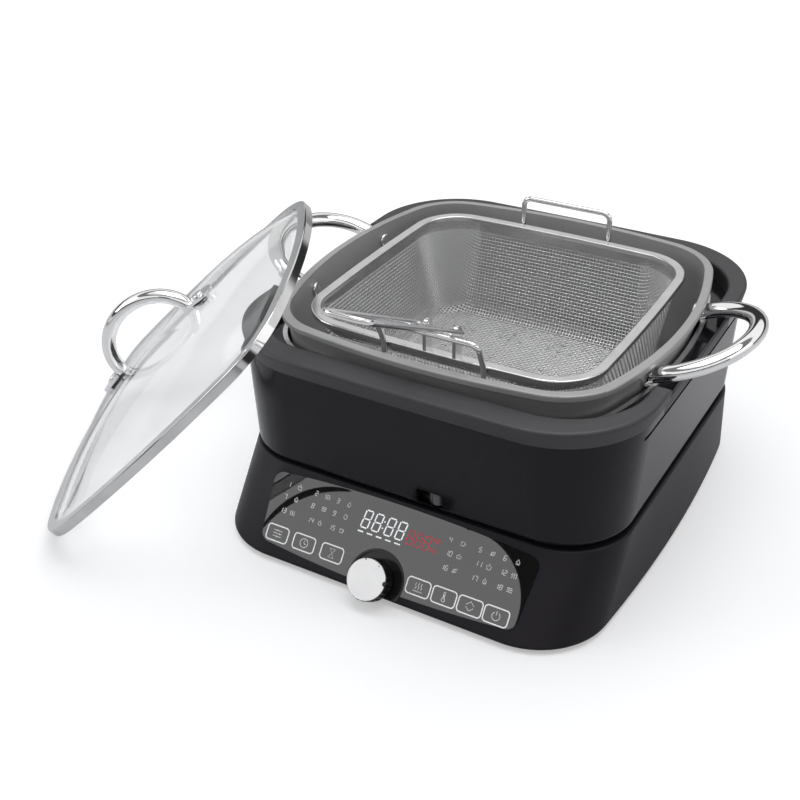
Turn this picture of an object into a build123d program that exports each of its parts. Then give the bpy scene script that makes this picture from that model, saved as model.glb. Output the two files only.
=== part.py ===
from build123d import *
import os
from math import asin, atan2, cos, radians, sin, sqrt, tan

os.makedirs("parts", exist_ok=True)

# Clearances, in millimetres like every size below
rest_gap = 0.3
slip_gap = 0.4
running_gap = 0.06
shank_gap = 0.15

# Heating base: a moulded shell that flares outwards to the table
foot_height = 3.0
foot_radius = 9.0
foot_plug_radius = 4.0
foot_edge_cut = 0.8
front_foot_x = 112.0
front_foot_y = 140.0
back_foot_x = 98.0
back_foot_y = 126.0
base_half_width = 152.0
base_front = 184.2
base_back = 152.0
base_corner = 54.0
base_side_bow = 12.0
base_edge_round = 2.0
base_wall = 3.2
panel_wall = 4.4
deck_height = 57.0
deck_half_width = 145.5
deck_half_depth = 141.6
deck_corner = 48.0
deck_thickness = 3.0
deck_edge_round = 1.6
cover_thickness = 2.0
cover_inset = 2.4
vent_width = 2.6
vent_length = 34.0
vent_pitch = 9.0
vent_count = 7
vent_y = -60.0
boss_radius = 4.6
side_boss_x = 120.0
side_boss_front = 95.0
side_boss_back = 104.0
toe_boss_x = 105.0
toe_boss_y = 156.0
screw_radius = 1.9
screw_head_radius = 3.6
screw_head_height = 1.8
screw_length = 10.0

# Heating plate and what lies under it
plate_half_width = 94.0
plate_half_depth = 88.0
plate_corner = 26.0
plate_thickness = 8.0
plate_top = 66.0
plate_edge_round = 1.5
plate_well_gap = 2.0
tray_floor = 45.0
tray_sheet = 1.0
tray_flange = 8.0
post_radius = 4.5
post_x = 76.0
post_y = 70.0
element_radius = 3.4
element_half_width = 56.0
element_half_depth = 50.0
element_corner = 22.0
terminal_x = 14.0
terminal_length = 8.0
sensor_radius = 12.6
sensor_cap_wall = 1.6
sensor_length = 14.0
sensor_travel = 2.0
spring_wire = 1.2
spring_radius = 8.0
spring_turns = 4

# Sloping control panel, its touch keys, display and dial
panel_centre_height = 32.0
panel_half_top = 104.0
panel_half_bottom = 99.5
panel_rise = 24.5
panel_drop = 24.5
panel_top_bow = 4.6
panel_bottom_bow = 5.0
panel_corner = 7.5
panel_thickness = 2.0
panel_recess = 1.8
panel_fit = 0.15
dial_x = -4.0
dial_slope = -24.5
dial_radius = 14.8
dial_foot_radius = 13.2
dial_height = 14.0
dial_waist = 4.6
dial_edge_round = 0.8
dial_lift = 1.2
dial_cap_radius = 12.6
dial_cap_thickness = 2.0
dial_cap_sink = 1.2
dial_cap_round = 0.5
dial_flutes = 24
dial_flute_radius = 0.9
dial_hollow_radius = 5.0
dial_hollow_depth = 4.0
shaft_radius = 2.2
dial_travel = 0.8
ring_radius = 21.2
ring_floor = 1.2
ring_lip_width = 1.6
ring_lip_height = 2.4
ring_cut = 33.5
bushing_radius = 3.6
bushing_rise = 3.4
encoder_width = 13.0
encoder_drop = 4.0
encoder_rise = 8.5
plunger_length = 1.4
board_depth = 7.0
board_thickness = 1.6
board_corner = 3.0
board_half_width = 92.0
board_low = -26.3
board_high = 20.0
board_post_x = 78.0
board_post_slope = 14.0
display_x = 2.0
display_slope = 11.0
display_width = 70.0
display_height = 19.0
key_left = (-87.5, -65.0, -41.8)
key_right = (27.5, 47.0, 66.3, 85.3)
key_left_slope = -17.8
key_right_slope = -19.3
key_spring_radius = 3.4

# Power board and mains inlet
power_board_width = 96.0
power_board_depth = 46.0
power_board_x = -62.0
power_board_y = 112.0
power_board_height = 9.0
power_post_inset = 6.0
relay_size = (19.0, 16.0, 15.0)
relay_shift = 28.0
relay_edge_cut = 0.8
capacitor_radius = 7.5
capacitor_height = 22.0
capacitor_shift = -26.0
capacitor_round = 1.0
coil_size = (26.0, 22.0, 18.0)
coil_corner = 2.0
inlet_height = 26.0
inlet_width = 31.0
inlet_tall = 23.0
inlet_depth = 20.0
inlet_corner = 3.0
inlet_flange = 4.0
inlet_flange_thickness = 2.0
inlet_wall = 2.6
inlet_floor = 4.0
pin_spacing = 7.0
pin_width = 2.2
pin_tall = 5.0
pin_length = 11.0
earth_pin_drop = 2.6

# Pot housing: gloss shell, floor ring, metal liner and two matte grips
seam_gap = 1.8
housing_top = 139.0
housing_bottom_half_width = 144.0
housing_bottom_half_depth = 143.0
housing_bottom_corner = 49.0
housing_top_half_width = 149.5
housing_top_half_depth = 151.0
housing_top_corner = 62.0
housing_bow = 2.0
housing_foot_round = 6.0
housing_wall = 3.0
housing_mouth_half_width = 126.0
housing_mouth_half_depth = 125.0
housing_mouth_corner = 40.0
floor_half_width = 136.0
floor_half_depth = 135.0
floor_corner = 44.0
floor_thickness = 2.0
floor_plate_gap = 4.0
pad_radius = 7.0
pad_x = 104.0
pad_y = 102.0
liner_gap = 2.4
liner_sheet = 1.0
liner_flange = 2.5
grip_height = 12.0
grip_half_width = 153.0
grip_half_depth = 156.0
grip_corner = 72.0
grip_low_half_width = 150.5
grip_low_half_depth = 152.2
grip_low_corner = 66.0
grip_inner_half_width = 140.8
grip_inner_half_depth = 134.4
grip_inner_corner = 56.0
grip_end = 66.0
grip_wall = 3.0
grip_round = 2.4
grip_screw_x = 58.0
grip_screw_y = 143.5
trim_low = 131.6
trim_depth = 2.2
trim_proud = 0.2
trim_top_round = 0.8
groove_width = 2.6
groove_depth = 1.0
groove_low = 128.2
groove_half_length = 98.0

# Latch: a thumb slider in a pocket at the foot of the housing
latch_x = 24.0
latch_window_left = 10.0
latch_window_right = 30.0
latch_window_low = 62.8
latch_window_high = 74.2
latch_travel = 8.0
latch_nose_radius = 4.0
latch_nose_height = 10.0
latch_nose_round = 0.8
latch_plate_width = 22.0
latch_plate_shift = 5.5
latch_play = 0.8
latch_plate_thickness = 2.0
latch_rail = 1.6
latch_tab_x = 36.0
latch_tab_width = 8.0
latch_tab_y = 123.6
latch_arm_height = 3.0
latch_toe = 4.0
latch_toe_height = 2.0

# Pot
rim_height = 160.0
rim_half_width = 140.0
rim_half_depth = 133.0
rim_corner = 50.0
rim_side_bow = 24.0
rim_end_bow = 12.0
rim_thickness = 4.0
rim_edge_round = 1.2
pot_lip = 3.4
pot_wall = 2.8
pot_base = 2.5
pot_floor_half_width = 124.0
pot_floor_half_depth = 117.0
pot_floor_corner = 40.0
pot_floor_side_bow = 14.0
pot_floor_end_bow = 7.0
pot_bottom_round = 13.0
handle_span = 50.0
handle_straight = 12.0
handle_reach = 55.5
handle_height = 146.6
handle_lift_angle = 20.5
handle_tube_height = 5.4
handle_tube_width = 6.4
handle_flange_half_width = 10.5
handle_flange_half_height = 6.0
handle_flange_thickness = 2.6
rivet_radius = 3.0
rivet_head_radius = 5.6
rivet_head_height = 2.2
rivet_head_share = 0.7

# Steam rack
rack_half_width = 108.0
rack_half_depth = 101.0
rack_corner = 38.0
rack_sheet = 1.2
rack_lip = 5.0
rack_top = 78.0
rack_leg_radius = 3.5
rack_leg_x = 84.0
rack_leg_y = 78.0
rack_hole_radius = 2.3
rack_hole_pitch = 9.0
rack_cluster_pitch = 42.0
rack_cluster_count = 4

# Mesh basket with its wire loops
basket_rim_top = 158.0
basket_rim_height = 3.4
basket_rim_band = 7.4
basket_rim_round = 1.1
basket_half_width = 112.4
basket_half_depth = 109.1
basket_corner = 38.0
basket_side_bow = 3.0
basket_end_bow = 4.0
mesh_inset = 3.0
mesh_sheet = 1.2
mesh_floor_half_width = 94.0
mesh_floor_half_depth = 91.0
mesh_floor_corner = 28.0
mesh_pitch = 16.0
mesh_window = 13.2
mesh_columns = 8
mesh_rows = 4
mesh_middle_height = 114.0
mesh_floor_windows = 7
wire_radius = 2.0
loop_bend = 6.0
loop_foot_height = 151.0
front_loop_x = 5.0
front_loop_half_width = 37.0
front_bar_y = 120.0
rear_loop_x = 1.0
rear_loop_half_width = 36.0
rear_loop_top = 179.0

# Basket handle: a long wire bow on two brackets
handle_x = 8.0
pivot_height = 175.0
pivot_y = 104.0
bow_half_width = 15.0
bow_length = 132.0
bow_angle = 28.5
bow_corner = 9.0
bow_turn_in = 2.6
bracket_thickness = 2.4
bracket_half_gap = 9.8
bracket_half_width = 4.6

# Lid, stood on the table and leaning towards the cooker
lid_half_width = 137.0
lid_half_depth = 130.0
lid_corner = 50.0
lid_side_bow = 22.0
lid_end_bow = 11.0
lid_skirt = 7.0
lid_band = 9.0
lid_sheet = 1.2
lid_lip = 5.0
lid_dome = 24.0
lid_glass_thickness = 4.0
dome_power = 2.4
dome_steps = (1.0, 0.9, 0.74, 0.54, 0.32, 0.12)
lid_lean = 44.4
lid_turn = 28.2
lid_spin = -1.0
lid_x = -208.9
lid_y = -118.0
lid_handle_half_span = 39.5
lid_handle_top = 59.5
lid_handle_width = 6.0
lid_handle_height = 5.2
lid_foot_length = 26.0
lid_foot_width = 15.0
lid_foot_thickness = 2.4
lid_rivet_radius = 2.6
lid_rivet_head_radius = 4.8
lid_rivet_head_height = 1.8
washer_radius = 7.5
washer_thickness = 1.2


def offset_bow(half_chord, bow, grow):
    """The bow of an arc drawn parallel to another one, a distance outside it."""
    if bow == 0:
        return 0
    radius = (half_chord**2 + bow**2) / (2 * bow)
    return radius + grow - sqrt((radius + grow) ** 2 - (half_chord + grow) ** 2)


def bowed_square(half_width, half_depth, corner, side_bow=0.0, end_bow=0.0, grow=0.0):
    """A rounded rectangle whose sides bulge, grown all round; half sizes are those at mid-side."""
    side = offset_bow(half_depth - end_bow, side_bow, grow)
    end = offset_bow(half_width - side_bow, end_bow, grow)
    x = half_width + grow
    y = half_depth + grow
    with BuildSketch() as outline:
        with BuildLine():
            if end > 0:
                ThreePointArc((side - x, end - y), (0, -y), (x - side, end - y))
                ThreePointArc((x - side, y - end), (0, y), (side - x, y - end))
            else:
                Line((side - x, -y), (x - side, -y))
                Line((x - side, y), (side - x, y))
            if side > 0:
                ThreePointArc((x - side, end - y), (x, 0), (x - side, y - end))
                ThreePointArc((side - x, y - end), (-x, 0), (side - x, end - y))
            else:
                Line((x, end - y), (x, y - end))
                Line((-x, y - end), (-x, end - y))
        make_face()
        fillet(outline.vertices(), corner + grow)
    return outline.sketch


def between(low, high, share):
    """The value that lies a share of the way from one size to another."""
    return low + (high - low) * share


def finish(piece, name):
    """Names a finished piece and writes its file."""
    piece.part.label = name
    export_step(piece.part, "parts/" + name + ".step")


# Heights that stack up from the table
deck_under = deck_height - deck_thickness
cover_top = foot_height + cover_thickness
plate_bottom = plate_top - plate_thickness
pot_bottom = plate_top + rest_gap
housing_bottom = deck_height + seam_gap
housing_floor_low = housing_bottom + housing_wall
housing_floor_top = housing_floor_low + floor_thickness
rim_bottom = rim_height - rim_thickness
rack_plate_low = rack_top - rack_sheet
mesh_bottom = rack_top + rest_gap
basket_rim_low = basket_rim_top - basket_rim_height

# The sloping front of the base, and the plane of the control panel on it
slope_height = deck_height - foot_height
slope_angle = atan2(slope_height, base_front - deck_half_depth)
slope_normal = (0, -sin(slope_angle), cos(slope_angle))
panel_y = base_front - (panel_centre_height - foot_height) / tan(slope_angle)
panel_plane = Plane(origin=(0, -panel_y, panel_centre_height), x_dir=(1, 0, 0), z_dir=slope_normal)
panel_skin = panel_wall * sin(slope_angle)
dial_plane = Plane(
    origin=panel_plane.from_local_coords(Vector(dial_x, dial_slope, 0)),
    x_dir=(1, 0, 0),
    z_dir=slope_normal,
)

# The back of the base, and the plane of the mains inlet on it
back_angle = atan2(base_back - deck_half_depth, slope_height)
inlet_y = between(base_back, deck_half_depth, (inlet_height - foot_height) / slope_height)
inlet_plane = Plane(
    origin=(0, inlet_y, inlet_height),
    x_dir=(-1, 0, 0),
    z_dir=(0, cos(back_angle), sin(back_angle)),
)

# The latch slider behind the housing's front wall, and the slot for its toe
latch_plate_low = housing_floor_low + slip_gap
latch_share = (latch_plate_low - housing_bottom) / (housing_top - housing_bottom)
latch_wall_y = between(housing_bottom_half_depth, housing_top_half_depth, latch_share) - housing_wall
latch_plate_y = -latch_wall_y + slip_gap + latch_plate_thickness / 2
latch_toe_low = deck_under - slip_gap - latch_toe_height
latch_slot_left = latch_tab_x - latch_tab_width / 2 - latch_travel - slip_gap
latch_slot_right = latch_tab_x + latch_tab_width / 2 + slip_gap
latch_slot_x = (latch_slot_left + latch_slot_right) / 2
latch_slot_width = latch_slot_right - latch_slot_left
rail_depth = slip_gap + latch_plate_thickness + 2 * housing_wall
rail_y = -latch_wall_y + rail_depth / 2 - housing_wall

# Where screws, feet and touch keys stand
boss_places = [
    (-side_boss_x, side_boss_back),
    (side_boss_x, side_boss_back),
    (-side_boss_x, -side_boss_front),
    (side_boss_x, -side_boss_front),
    (-toe_boss_x, -toe_boss_y),
    (toe_boss_x, -toe_boss_y),
]
foot_places = [
    (-front_foot_x, -front_foot_y),
    (front_foot_x, -front_foot_y),
    (-back_foot_x, back_foot_y),
    (back_foot_x, back_foot_y),
]
key_places = [(x, key_left_slope) for x in key_left] + [(x, key_right_slope) for x in key_right]
board_post_places = [(-board_post_x, board_post_slope), (board_post_x, board_post_slope)]
power_post_x = power_board_width / 2 - power_post_inset
power_post_y = power_board_depth / 2 - power_post_inset
power_post_places = [
    (power_board_x + side * power_post_x, power_board_y + end * power_post_y)
    for side in (-1, 1)
    for end in (-1, 1)
]


def base_section(height, inset, front_inset):
    """Outline of the base at a height, drawn in from its outer face by a wall."""
    share = (height - foot_height) / slope_height
    front = between(base_front, deck_half_depth, share) - front_inset
    back = between(base_back, deck_half_depth, share) - inset
    outline = bowed_square(
        between(base_half_width, deck_half_width, share) - inset,
        (front + back) / 2,
        between(base_corner, deck_corner, share) - inset,
        between(base_side_bow, 0, share),
    )
    return outline.moved(Location((0, (back - front) / 2, 0)))


def panel_outline(grow):
    """Outline of the glossy control panel: bowed at the top and the bottom, narrower below."""
    top = panel_rise + grow
    low = -panel_drop - grow
    with BuildSketch() as outline:
        with BuildLine():
            ThreePointArc((-panel_half_top - grow, top), (0, top + panel_top_bow), (panel_half_top + grow, top))
            Line((panel_half_top + grow, top), (panel_half_bottom + grow, low))
            ThreePointArc((panel_half_bottom + grow, low), (0, low - panel_bottom_bow), (-panel_half_bottom - grow, low))
            Line((-panel_half_bottom - grow, low), (-panel_half_top - grow, top))
        make_face()
        fillet(outline.vertices(), panel_corner + grow)
    return outline.sketch


def ring_outline(grow):
    """Outline of the shallow dish round the dial: a disc cut off below the panel."""
    with BuildSketch() as outline:
        with Locations((dial_x, dial_slope)):
            Circle(ring_radius + grow)
        with Locations((dial_x, -ring_cut - grow - ring_radius)):
            Rectangle(3 * ring_radius, 2 * ring_radius, mode=Mode.SUBTRACT)
    return outline.sketch


def plate_outline(grow):
    """Outline of the heating plate, grown for its well and its tray."""
    return bowed_square(plate_half_width, plate_half_depth, plate_corner, grow=grow)


# Base shell: a hollow flared moulding, open below, with a well for the heating plate
with BuildPart() as base_shell:
    with BuildSketch(Plane.XY.offset(foot_height)):
        add(base_section(foot_height, 0, 0))
    with BuildSketch(Plane.XY.offset(deck_height)):
        add(base_section(deck_height, 0, 0))
    loft(ruled=True)
    fillet(base_shell.faces().sort_by(Axis.Z)[-1].edges(), deck_edge_round)
    fillet(base_shell.faces().sort_by(Axis.Z)[0].edges(), base_edge_round)
    with BuildSketch(Plane.XY.offset(foot_height)):
        add(base_section(foot_height, base_wall, panel_wall))
    with BuildSketch(Plane.XY.offset(deck_under)):
        add(base_section(deck_under, base_wall, panel_wall))
    loft(ruled=True, mode=Mode.SUBTRACT)
    with BuildSketch(Plane.XY.offset(deck_height)):
        add(plate_outline(plate_well_gap))
    extrude(amount=-deck_thickness, mode=Mode.SUBTRACT)
    # Screw bosses that reach down from the deck, and the two short ones behind the toe
    with BuildSketch(Plane.XY.offset(cover_top)):
        with Locations(*boss_places[:4]):
            Circle(boss_radius)
    extrude(amount=deck_under - cover_top)
    with BuildSketch(Plane.XY.offset(cover_top)):
        with Locations(*boss_places[4:]):
            Circle(boss_radius)
    extrude(until=Until.NEXT)
    with BuildSketch(Plane.XY.offset(cover_top)):
        with Locations(*boss_places):
            Circle(screw_radius)
    extrude(amount=screw_length, mode=Mode.SUBTRACT)
    # Posts for the control board, behind the slope
    with BuildSketch(panel_plane.offset(-board_depth)):
        with Locations(*board_post_places):
            Circle(boss_radius)
    extrude(amount=board_depth - panel_skin + slip_gap)
    with BuildSketch(panel_plane.offset(-board_depth)):
        with Locations(*board_post_places):
            Circle(screw_radius)
    extrude(amount=board_depth - panel_skin, mode=Mode.SUBTRACT)
    # Shallow bed for the panel and the dial's dish, with windows through it
    with BuildSketch(panel_plane.offset(panel_recess)):
        add(panel_outline(panel_fit))
        add(ring_outline(panel_fit))
    extrude(amount=-2 * panel_recess, mode=Mode.SUBTRACT)
    with BuildSketch(panel_plane.offset(-panel_recess)):
        with Locations((display_x, display_slope)):
            Rectangle(display_width + 2 * slip_gap, display_height + 2 * slip_gap)
        with Locations(*key_places):
            Circle(key_spring_radius + slip_gap)
        with Locations((dial_x, dial_slope + (encoder_rise - encoder_drop) / 2)):
            Rectangle(encoder_width + 2 * slip_gap, encoder_rise + encoder_drop + 2 * slip_gap)
    extrude(amount=-(panel_skin - panel_recess + 1), mode=Mode.SUBTRACT)
    # Opening for the mains inlet, and the slot that the latch's toe drops into
    with BuildSketch(inlet_plane.offset(base_wall)):
        RectangleRounded(inlet_width - 2 * inlet_flange, inlet_tall - 2 * inlet_flange, inlet_corner)
    extrude(amount=-3 * base_wall, mode=Mode.SUBTRACT)
    with BuildSketch(Plane.XY.offset(deck_height)):
        with Locations((latch_slot_x, -latch_tab_y)):
            Rectangle(latch_slot_width, latch_plate_thickness + 2 * latch_play)
    extrude(amount=-deck_thickness, mode=Mode.SUBTRACT)
finish(base_shell, "base_shell")

# Bottom cover: a flat plate inside the shell's lower edge, with air slots
with BuildPart() as bottom_cover:
    with BuildSketch(Plane.XY.offset(foot_height)):
        add(base_section(foot_height, base_wall + cover_inset, panel_wall + cover_inset))
        with Locations(*foot_places):
            Circle(foot_plug_radius, mode=Mode.SUBTRACT)
        with Locations(*boss_places):
            Circle(screw_radius, mode=Mode.SUBTRACT)
        with Locations((0, vent_y)):
            with GridLocations(2 * vent_length, vent_pitch, 2, vent_count):
                SlotOverall(vent_length, vent_width, mode=Mode.SUBTRACT)
    extrude(amount=cover_thickness)
    with BuildSketch(Plane.XY.offset(cover_top)):
        with Locations(*power_post_places):
            Circle(boss_radius)
    extrude(amount=power_board_height - cover_top)
finish(bottom_cover, "bottom_cover")

# Rubber feet: discs with a plug pushed into the cover
with BuildPart() as rubber_feet:
    with BuildSketch():
        with Locations(*foot_places):
            Circle(foot_radius)
    extrude(amount=foot_height)
    chamfer(rubber_feet.faces().group_by(Axis.Z)[0].edges(), foot_edge_cut)
    with BuildSketch(Plane.XY.offset(foot_height)):
        with Locations(*foot_places):
            Circle(foot_plug_radius)
    extrude(amount=cover_thickness)
finish(rubber_feet, "rubber_feet")

# Cover screws: pan heads under the cover, shanks up into the bosses
with BuildPart() as cover_screws:
    with BuildSketch(Plane.XY.offset(foot_height)):
        with Locations(*boss_places):
            Circle(screw_head_radius)
    extrude(amount=-screw_head_height)
    with BuildSketch(Plane.XY.offset(foot_height)):
        with Locations(*boss_places):
            Circle(screw_radius)
    extrude(amount=screw_length)
finish(cover_screws, "cover_screws")

# Tray under the heating plate: a pressed pan hung from the underside of the deck
with BuildPart() as reflector_tray:
    with BuildSketch(Plane.XY.offset(tray_floor)):
        add(plate_outline(plate_well_gap))
    extrude(amount=deck_under - tray_floor)
    with BuildSketch(Plane.XY.offset(tray_floor + tray_sheet)):
        add(plate_outline(plate_well_gap - tray_sheet))
    extrude(amount=deck_under - tray_floor, mode=Mode.SUBTRACT)
    with BuildSketch(Plane.XY.offset(deck_under)):
        add(plate_outline(plate_well_gap + tray_flange))
        add(plate_outline(plate_well_gap - tray_sheet), mode=Mode.SUBTRACT)
    extrude(amount=-tray_sheet)
    with BuildSketch(Plane.XY.offset(tray_floor)):
        with Locations((-terminal_x, element_half_depth), (terminal_x, element_half_depth)):
            Circle(element_radius + slip_gap)
    extrude(amount=tray_sheet, mode=Mode.SUBTRACT)
finish(reflector_tray, "reflector_tray")

# Heating plate: a cast slab with a round hole for the sensor
with BuildPart() as heating_plate:
    with BuildSketch(Plane.XY.offset(plate_bottom)):
        add(plate_outline(0))
        Circle(sensor_radius + slip_gap, mode=Mode.SUBTRACT)
    extrude(amount=plate_thickness)
    fillet(heating_plate.edges().group_by(Axis.Z)[-1], plate_edge_round)
finish(heating_plate, "heating_plate")

# Four posts that carry the plate on the tray
with BuildPart() as plate_posts:
    with BuildSketch(Plane.XY.offset(tray_floor + tray_sheet)):
        with GridLocations(2 * post_x, 2 * post_y, 2, 2):
            Circle(post_radius)
    extrude(amount=plate_bottom - tray_floor - tray_sheet)
finish(plate_posts, "plate_posts")

# Heating element: a flattened tube bent round under the plate, its two ends turned down
element_height = plate_bottom - element_radius
with BuildPart() as heating_element:
    with BuildLine() as element_path:
        FilletPolyline(
            (-terminal_x, element_half_depth, element_height),
            (-element_half_width, element_half_depth, element_height),
            (-element_half_width, -element_half_depth, element_height),
            (element_half_width, -element_half_depth, element_height),
            (element_half_width, element_half_depth, element_height),
            (terminal_x, element_half_depth, element_height),
            radius=element_corner,
        )
    with BuildSketch(Plane(element_path.wire() @ 0, z_dir=element_path.wire() % 0)):
        RegularPolygon(element_radius, 6)
    sweep()
    with BuildSketch(Plane.XY.offset(tray_floor - terminal_length)):
        with Locations((-terminal_x, element_half_depth), (terminal_x, element_half_depth)):
            Circle(element_radius)
    extrude(amount=element_height + element_radius / 2 - tray_floor + terminal_length)
finish(heating_element, "heating_element")

# Temperature sensor: a sprung cap that stands flush in the plate under the pot
with BuildPart() as temperature_sensor:
    with BuildSketch(Plane.XY.offset(plate_top - sensor_length)):
        Circle(sensor_radius)
    extrude(amount=sensor_length)
    fillet(temperature_sensor.edges().group_by(Axis.Z)[-1], plate_edge_round)
    with BuildSketch(Plane.XY.offset(plate_top - sensor_length)):
        Circle(sensor_radius - sensor_cap_wall)
    extrude(amount=sensor_length - sensor_cap_wall, mode=Mode.SUBTRACT)
finish(temperature_sensor, "temperature_sensor")

# Coil spring that stands on the tray inside the sensor cap
spring_low = tray_floor + tray_sheet + spring_wire
spring_high = plate_top - sensor_cap_wall - sensor_travel - rest_gap - spring_wire
with BuildPart() as sensor_spring:
    with BuildLine() as spring_path:
        Helix((spring_high - spring_low) / spring_turns, spring_high - spring_low, spring_radius, (0, 0, spring_low))
    with BuildSketch(Plane(spring_path.wire() @ 0, x_dir=(0, 0, 1), z_dir=spring_path.wire() % 0)):
        RegularPolygon(spring_wire, 4)
    sweep(is_frenet=True)
finish(sensor_spring, "sensor_spring")

# Control panel: one glossy plate, opened for the dial's dish
with BuildPart() as control_panel:
    with BuildSketch(panel_plane.offset(-panel_recess)):
        add(panel_outline(0))
        add(ring_outline(panel_fit), mode=Mode.SUBTRACT)
    extrude(amount=panel_thickness)
finish(control_panel, "control_panel")

# Dish round the dial: a thin floor with a raised edge
with BuildPart() as dial_ring:
    with BuildSketch(panel_plane.offset(-panel_recess)):
        add(ring_outline(0))
        with Locations((dial_x, dial_slope)):
            Circle(bushing_radius + running_gap, mode=Mode.SUBTRACT)
    extrude(amount=ring_floor)
    with BuildSketch(panel_plane.offset(-panel_recess)):
        add(ring_outline(0))
        with Locations((dial_x, dial_slope)):
            Circle(ring_radius - ring_lip_width, mode=Mode.SUBTRACT)
    extrude(amount=ring_lip_height)
finish(dial_ring, "dial_ring")

# Control board: the circuit board behind the slope
with BuildPart() as control_board:
    with BuildSketch(panel_plane.offset(-board_depth)):
        with Locations((0, (board_high + board_low) / 2)):
            RectangleRounded(2 * board_half_width, board_high - board_low, board_corner)
        with Locations(*board_post_places):
            Circle(screw_radius, mode=Mode.SUBTRACT)
    extrude(amount=-board_thickness)
finish(control_board, "control_board")

# Board screws: two for the control board and four for the power board
with BuildPart() as board_screws:
    with BuildSketch(panel_plane.offset(-board_depth - board_thickness)):
        with Locations(*board_post_places):
            Circle(screw_head_radius)
    extrude(amount=-screw_head_height)
    with BuildSketch(panel_plane.offset(-board_depth - board_thickness)):
        with Locations(*board_post_places):
            Circle(screw_radius)
    extrude(amount=board_thickness + board_depth - panel_skin)
    with BuildSketch(Plane.XY.offset(power_board_height + board_thickness)):
        with Locations(*power_post_places):
            Circle(screw_head_radius)
    extrude(amount=screw_head_height)
finish(board_screws, "board_screws")

# Display block behind the panel's window
with BuildPart() as display_module:
    with BuildSketch(panel_plane.offset(-board_depth)):
        with Locations((display_x, display_slope)):
            Rectangle(display_width, display_height)
    extrude(amount=board_depth - panel_recess)
finish(display_module, "display_module")

# Touch springs: conductive pads between the board and the back of the panel
with BuildPart() as touch_springs:
    with BuildSketch(panel_plane.offset(-board_depth)):
        with Locations(*key_places):
            Circle(key_spring_radius)
    extrude(amount=board_depth - panel_recess)
finish(touch_springs, "touch_springs")

# Dial encoder: a square body on the board with a round bushing through the dish
with BuildPart() as dial_encoder:
    with BuildSketch(panel_plane.offset(-board_depth)):
        with Locations((dial_x, dial_slope + (encoder_rise - encoder_drop) / 2)):
            Rectangle(encoder_width, encoder_rise + encoder_drop)
    extrude(amount=board_depth - panel_recess - slip_gap)
    with BuildSketch(panel_plane.offset(-panel_recess - slip_gap)):
        with Locations((dial_x, dial_slope)):
            Circle(bushing_radius)
    extrude(amount=bushing_rise + slip_gap)
    with BuildSketch(panel_plane.offset(-board_depth)):
        with Locations((dial_x, dial_slope)):
            Circle(shaft_radius + running_gap)
    extrude(amount=board_depth + bushing_rise, mode=Mode.SUBTRACT)
finish(dial_encoder, "dial_encoder")

# Plunger of the dial's push switch, at the bottom of the encoder's bore
plunger_low = dial_travel + rest_gap - board_depth
with BuildPart() as dial_plunger:
    with BuildSketch(dial_plane.offset(plunger_low)):
        Circle(shaft_radius)
    extrude(amount=plunger_length)
finish(dial_plunger, "dial_plunger")

# Dial shaft: turns in the bushing and pushes on the plunger
shaft_low = plunger_low + plunger_length + running_gap
dial_low = ring_floor - panel_recess + dial_lift
dial_top = dial_low + dial_height
with BuildPart() as dial_shaft:
    with BuildSketch(dial_plane.offset(shaft_low)):
        Circle(shaft_radius)
    extrude(amount=dial_top - dial_cap_thickness - dial_cap_sink - shaft_low)
finish(dial_shaft, "dial_shaft")

# Dial body: a fluted cap, slightly waisted, hollow where it clears the bushing
with BuildPart() as dial_body:
    with BuildSketch(dial_plane.offset(dial_low)):
        Circle(dial_foot_radius)
    with BuildSketch(dial_plane.offset(dial_low + dial_waist)):
        Circle(dial_radius)
    loft(ruled=True)
    with BuildSketch(dial_plane.offset(dial_low + dial_waist)):
        Circle(dial_radius)
    extrude(amount=dial_height - dial_waist)
    fillet(dial_body.edges().group_by(Axis(dial_plane.origin, dial_plane.z_dir))[-1], dial_edge_round)
    with BuildSketch(dial_plane.offset(dial_top)):
        Circle(dial_cap_radius)
    extrude(amount=-dial_cap_sink, mode=Mode.SUBTRACT)
    with BuildSketch(dial_plane.offset(dial_low)):
        Circle(dial_hollow_radius)
    extrude(amount=dial_hollow_depth, mode=Mode.SUBTRACT)
    with BuildSketch(dial_plane.offset(dial_low)):
        Circle(shaft_radius)
    extrude(amount=dial_height - dial_cap_thickness - dial_cap_sink, mode=Mode.SUBTRACT)
    with BuildSketch(dial_plane.offset(dial_low)):
        with PolarLocations(dial_radius, dial_flutes):
            RegularPolygon(dial_flute_radius, 4)
    extrude(amount=dial_height, mode=Mode.SUBTRACT)
finish(dial_body, "dial_body")

# Dial face: a bright disc set into the top of the dial
with BuildPart() as dial_face:
    with BuildSketch(dial_plane.offset(dial_top - dial_cap_sink)):
        Circle(dial_cap_radius - running_gap)
    extrude(amount=dial_cap_thickness)
    fillet(dial_face.edges().group_by(Axis(dial_plane.origin, dial_plane.z_dir))[-1], dial_cap_round)
finish(dial_face, "dial_face")

# Power board with its relay, capacitor and coil
with BuildPart() as power_board:
    with BuildSketch(Plane.XY.offset(power_board_height)):
        with Locations((power_board_x, power_board_y)):
            RectangleRounded(power_board_width, power_board_depth, board_corner)
    extrude(amount=board_thickness)
finish(power_board, "power_board")

power_top = power_board_height + board_thickness
with BuildPart() as power_relay:
    with BuildSketch(Plane.XY.offset(power_top)):
        with Locations((power_board_x + relay_shift, power_board_y)):
            Rectangle(relay_size[0], relay_size[1])
    extrude(amount=relay_size[2])
    chamfer(power_relay.edges().group_by(Axis.Z)[-1], relay_edge_cut)
finish(power_relay, "power_relay")

with BuildPart() as power_coil:
    with BuildSketch(Plane.XY.offset(power_top)):
        with Locations((power_board_x, power_board_y)):
            RectangleRounded(coil_size[0], coil_size[1], coil_corner)
    extrude(amount=coil_size[2])
finish(power_coil, "power_coil")

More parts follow.
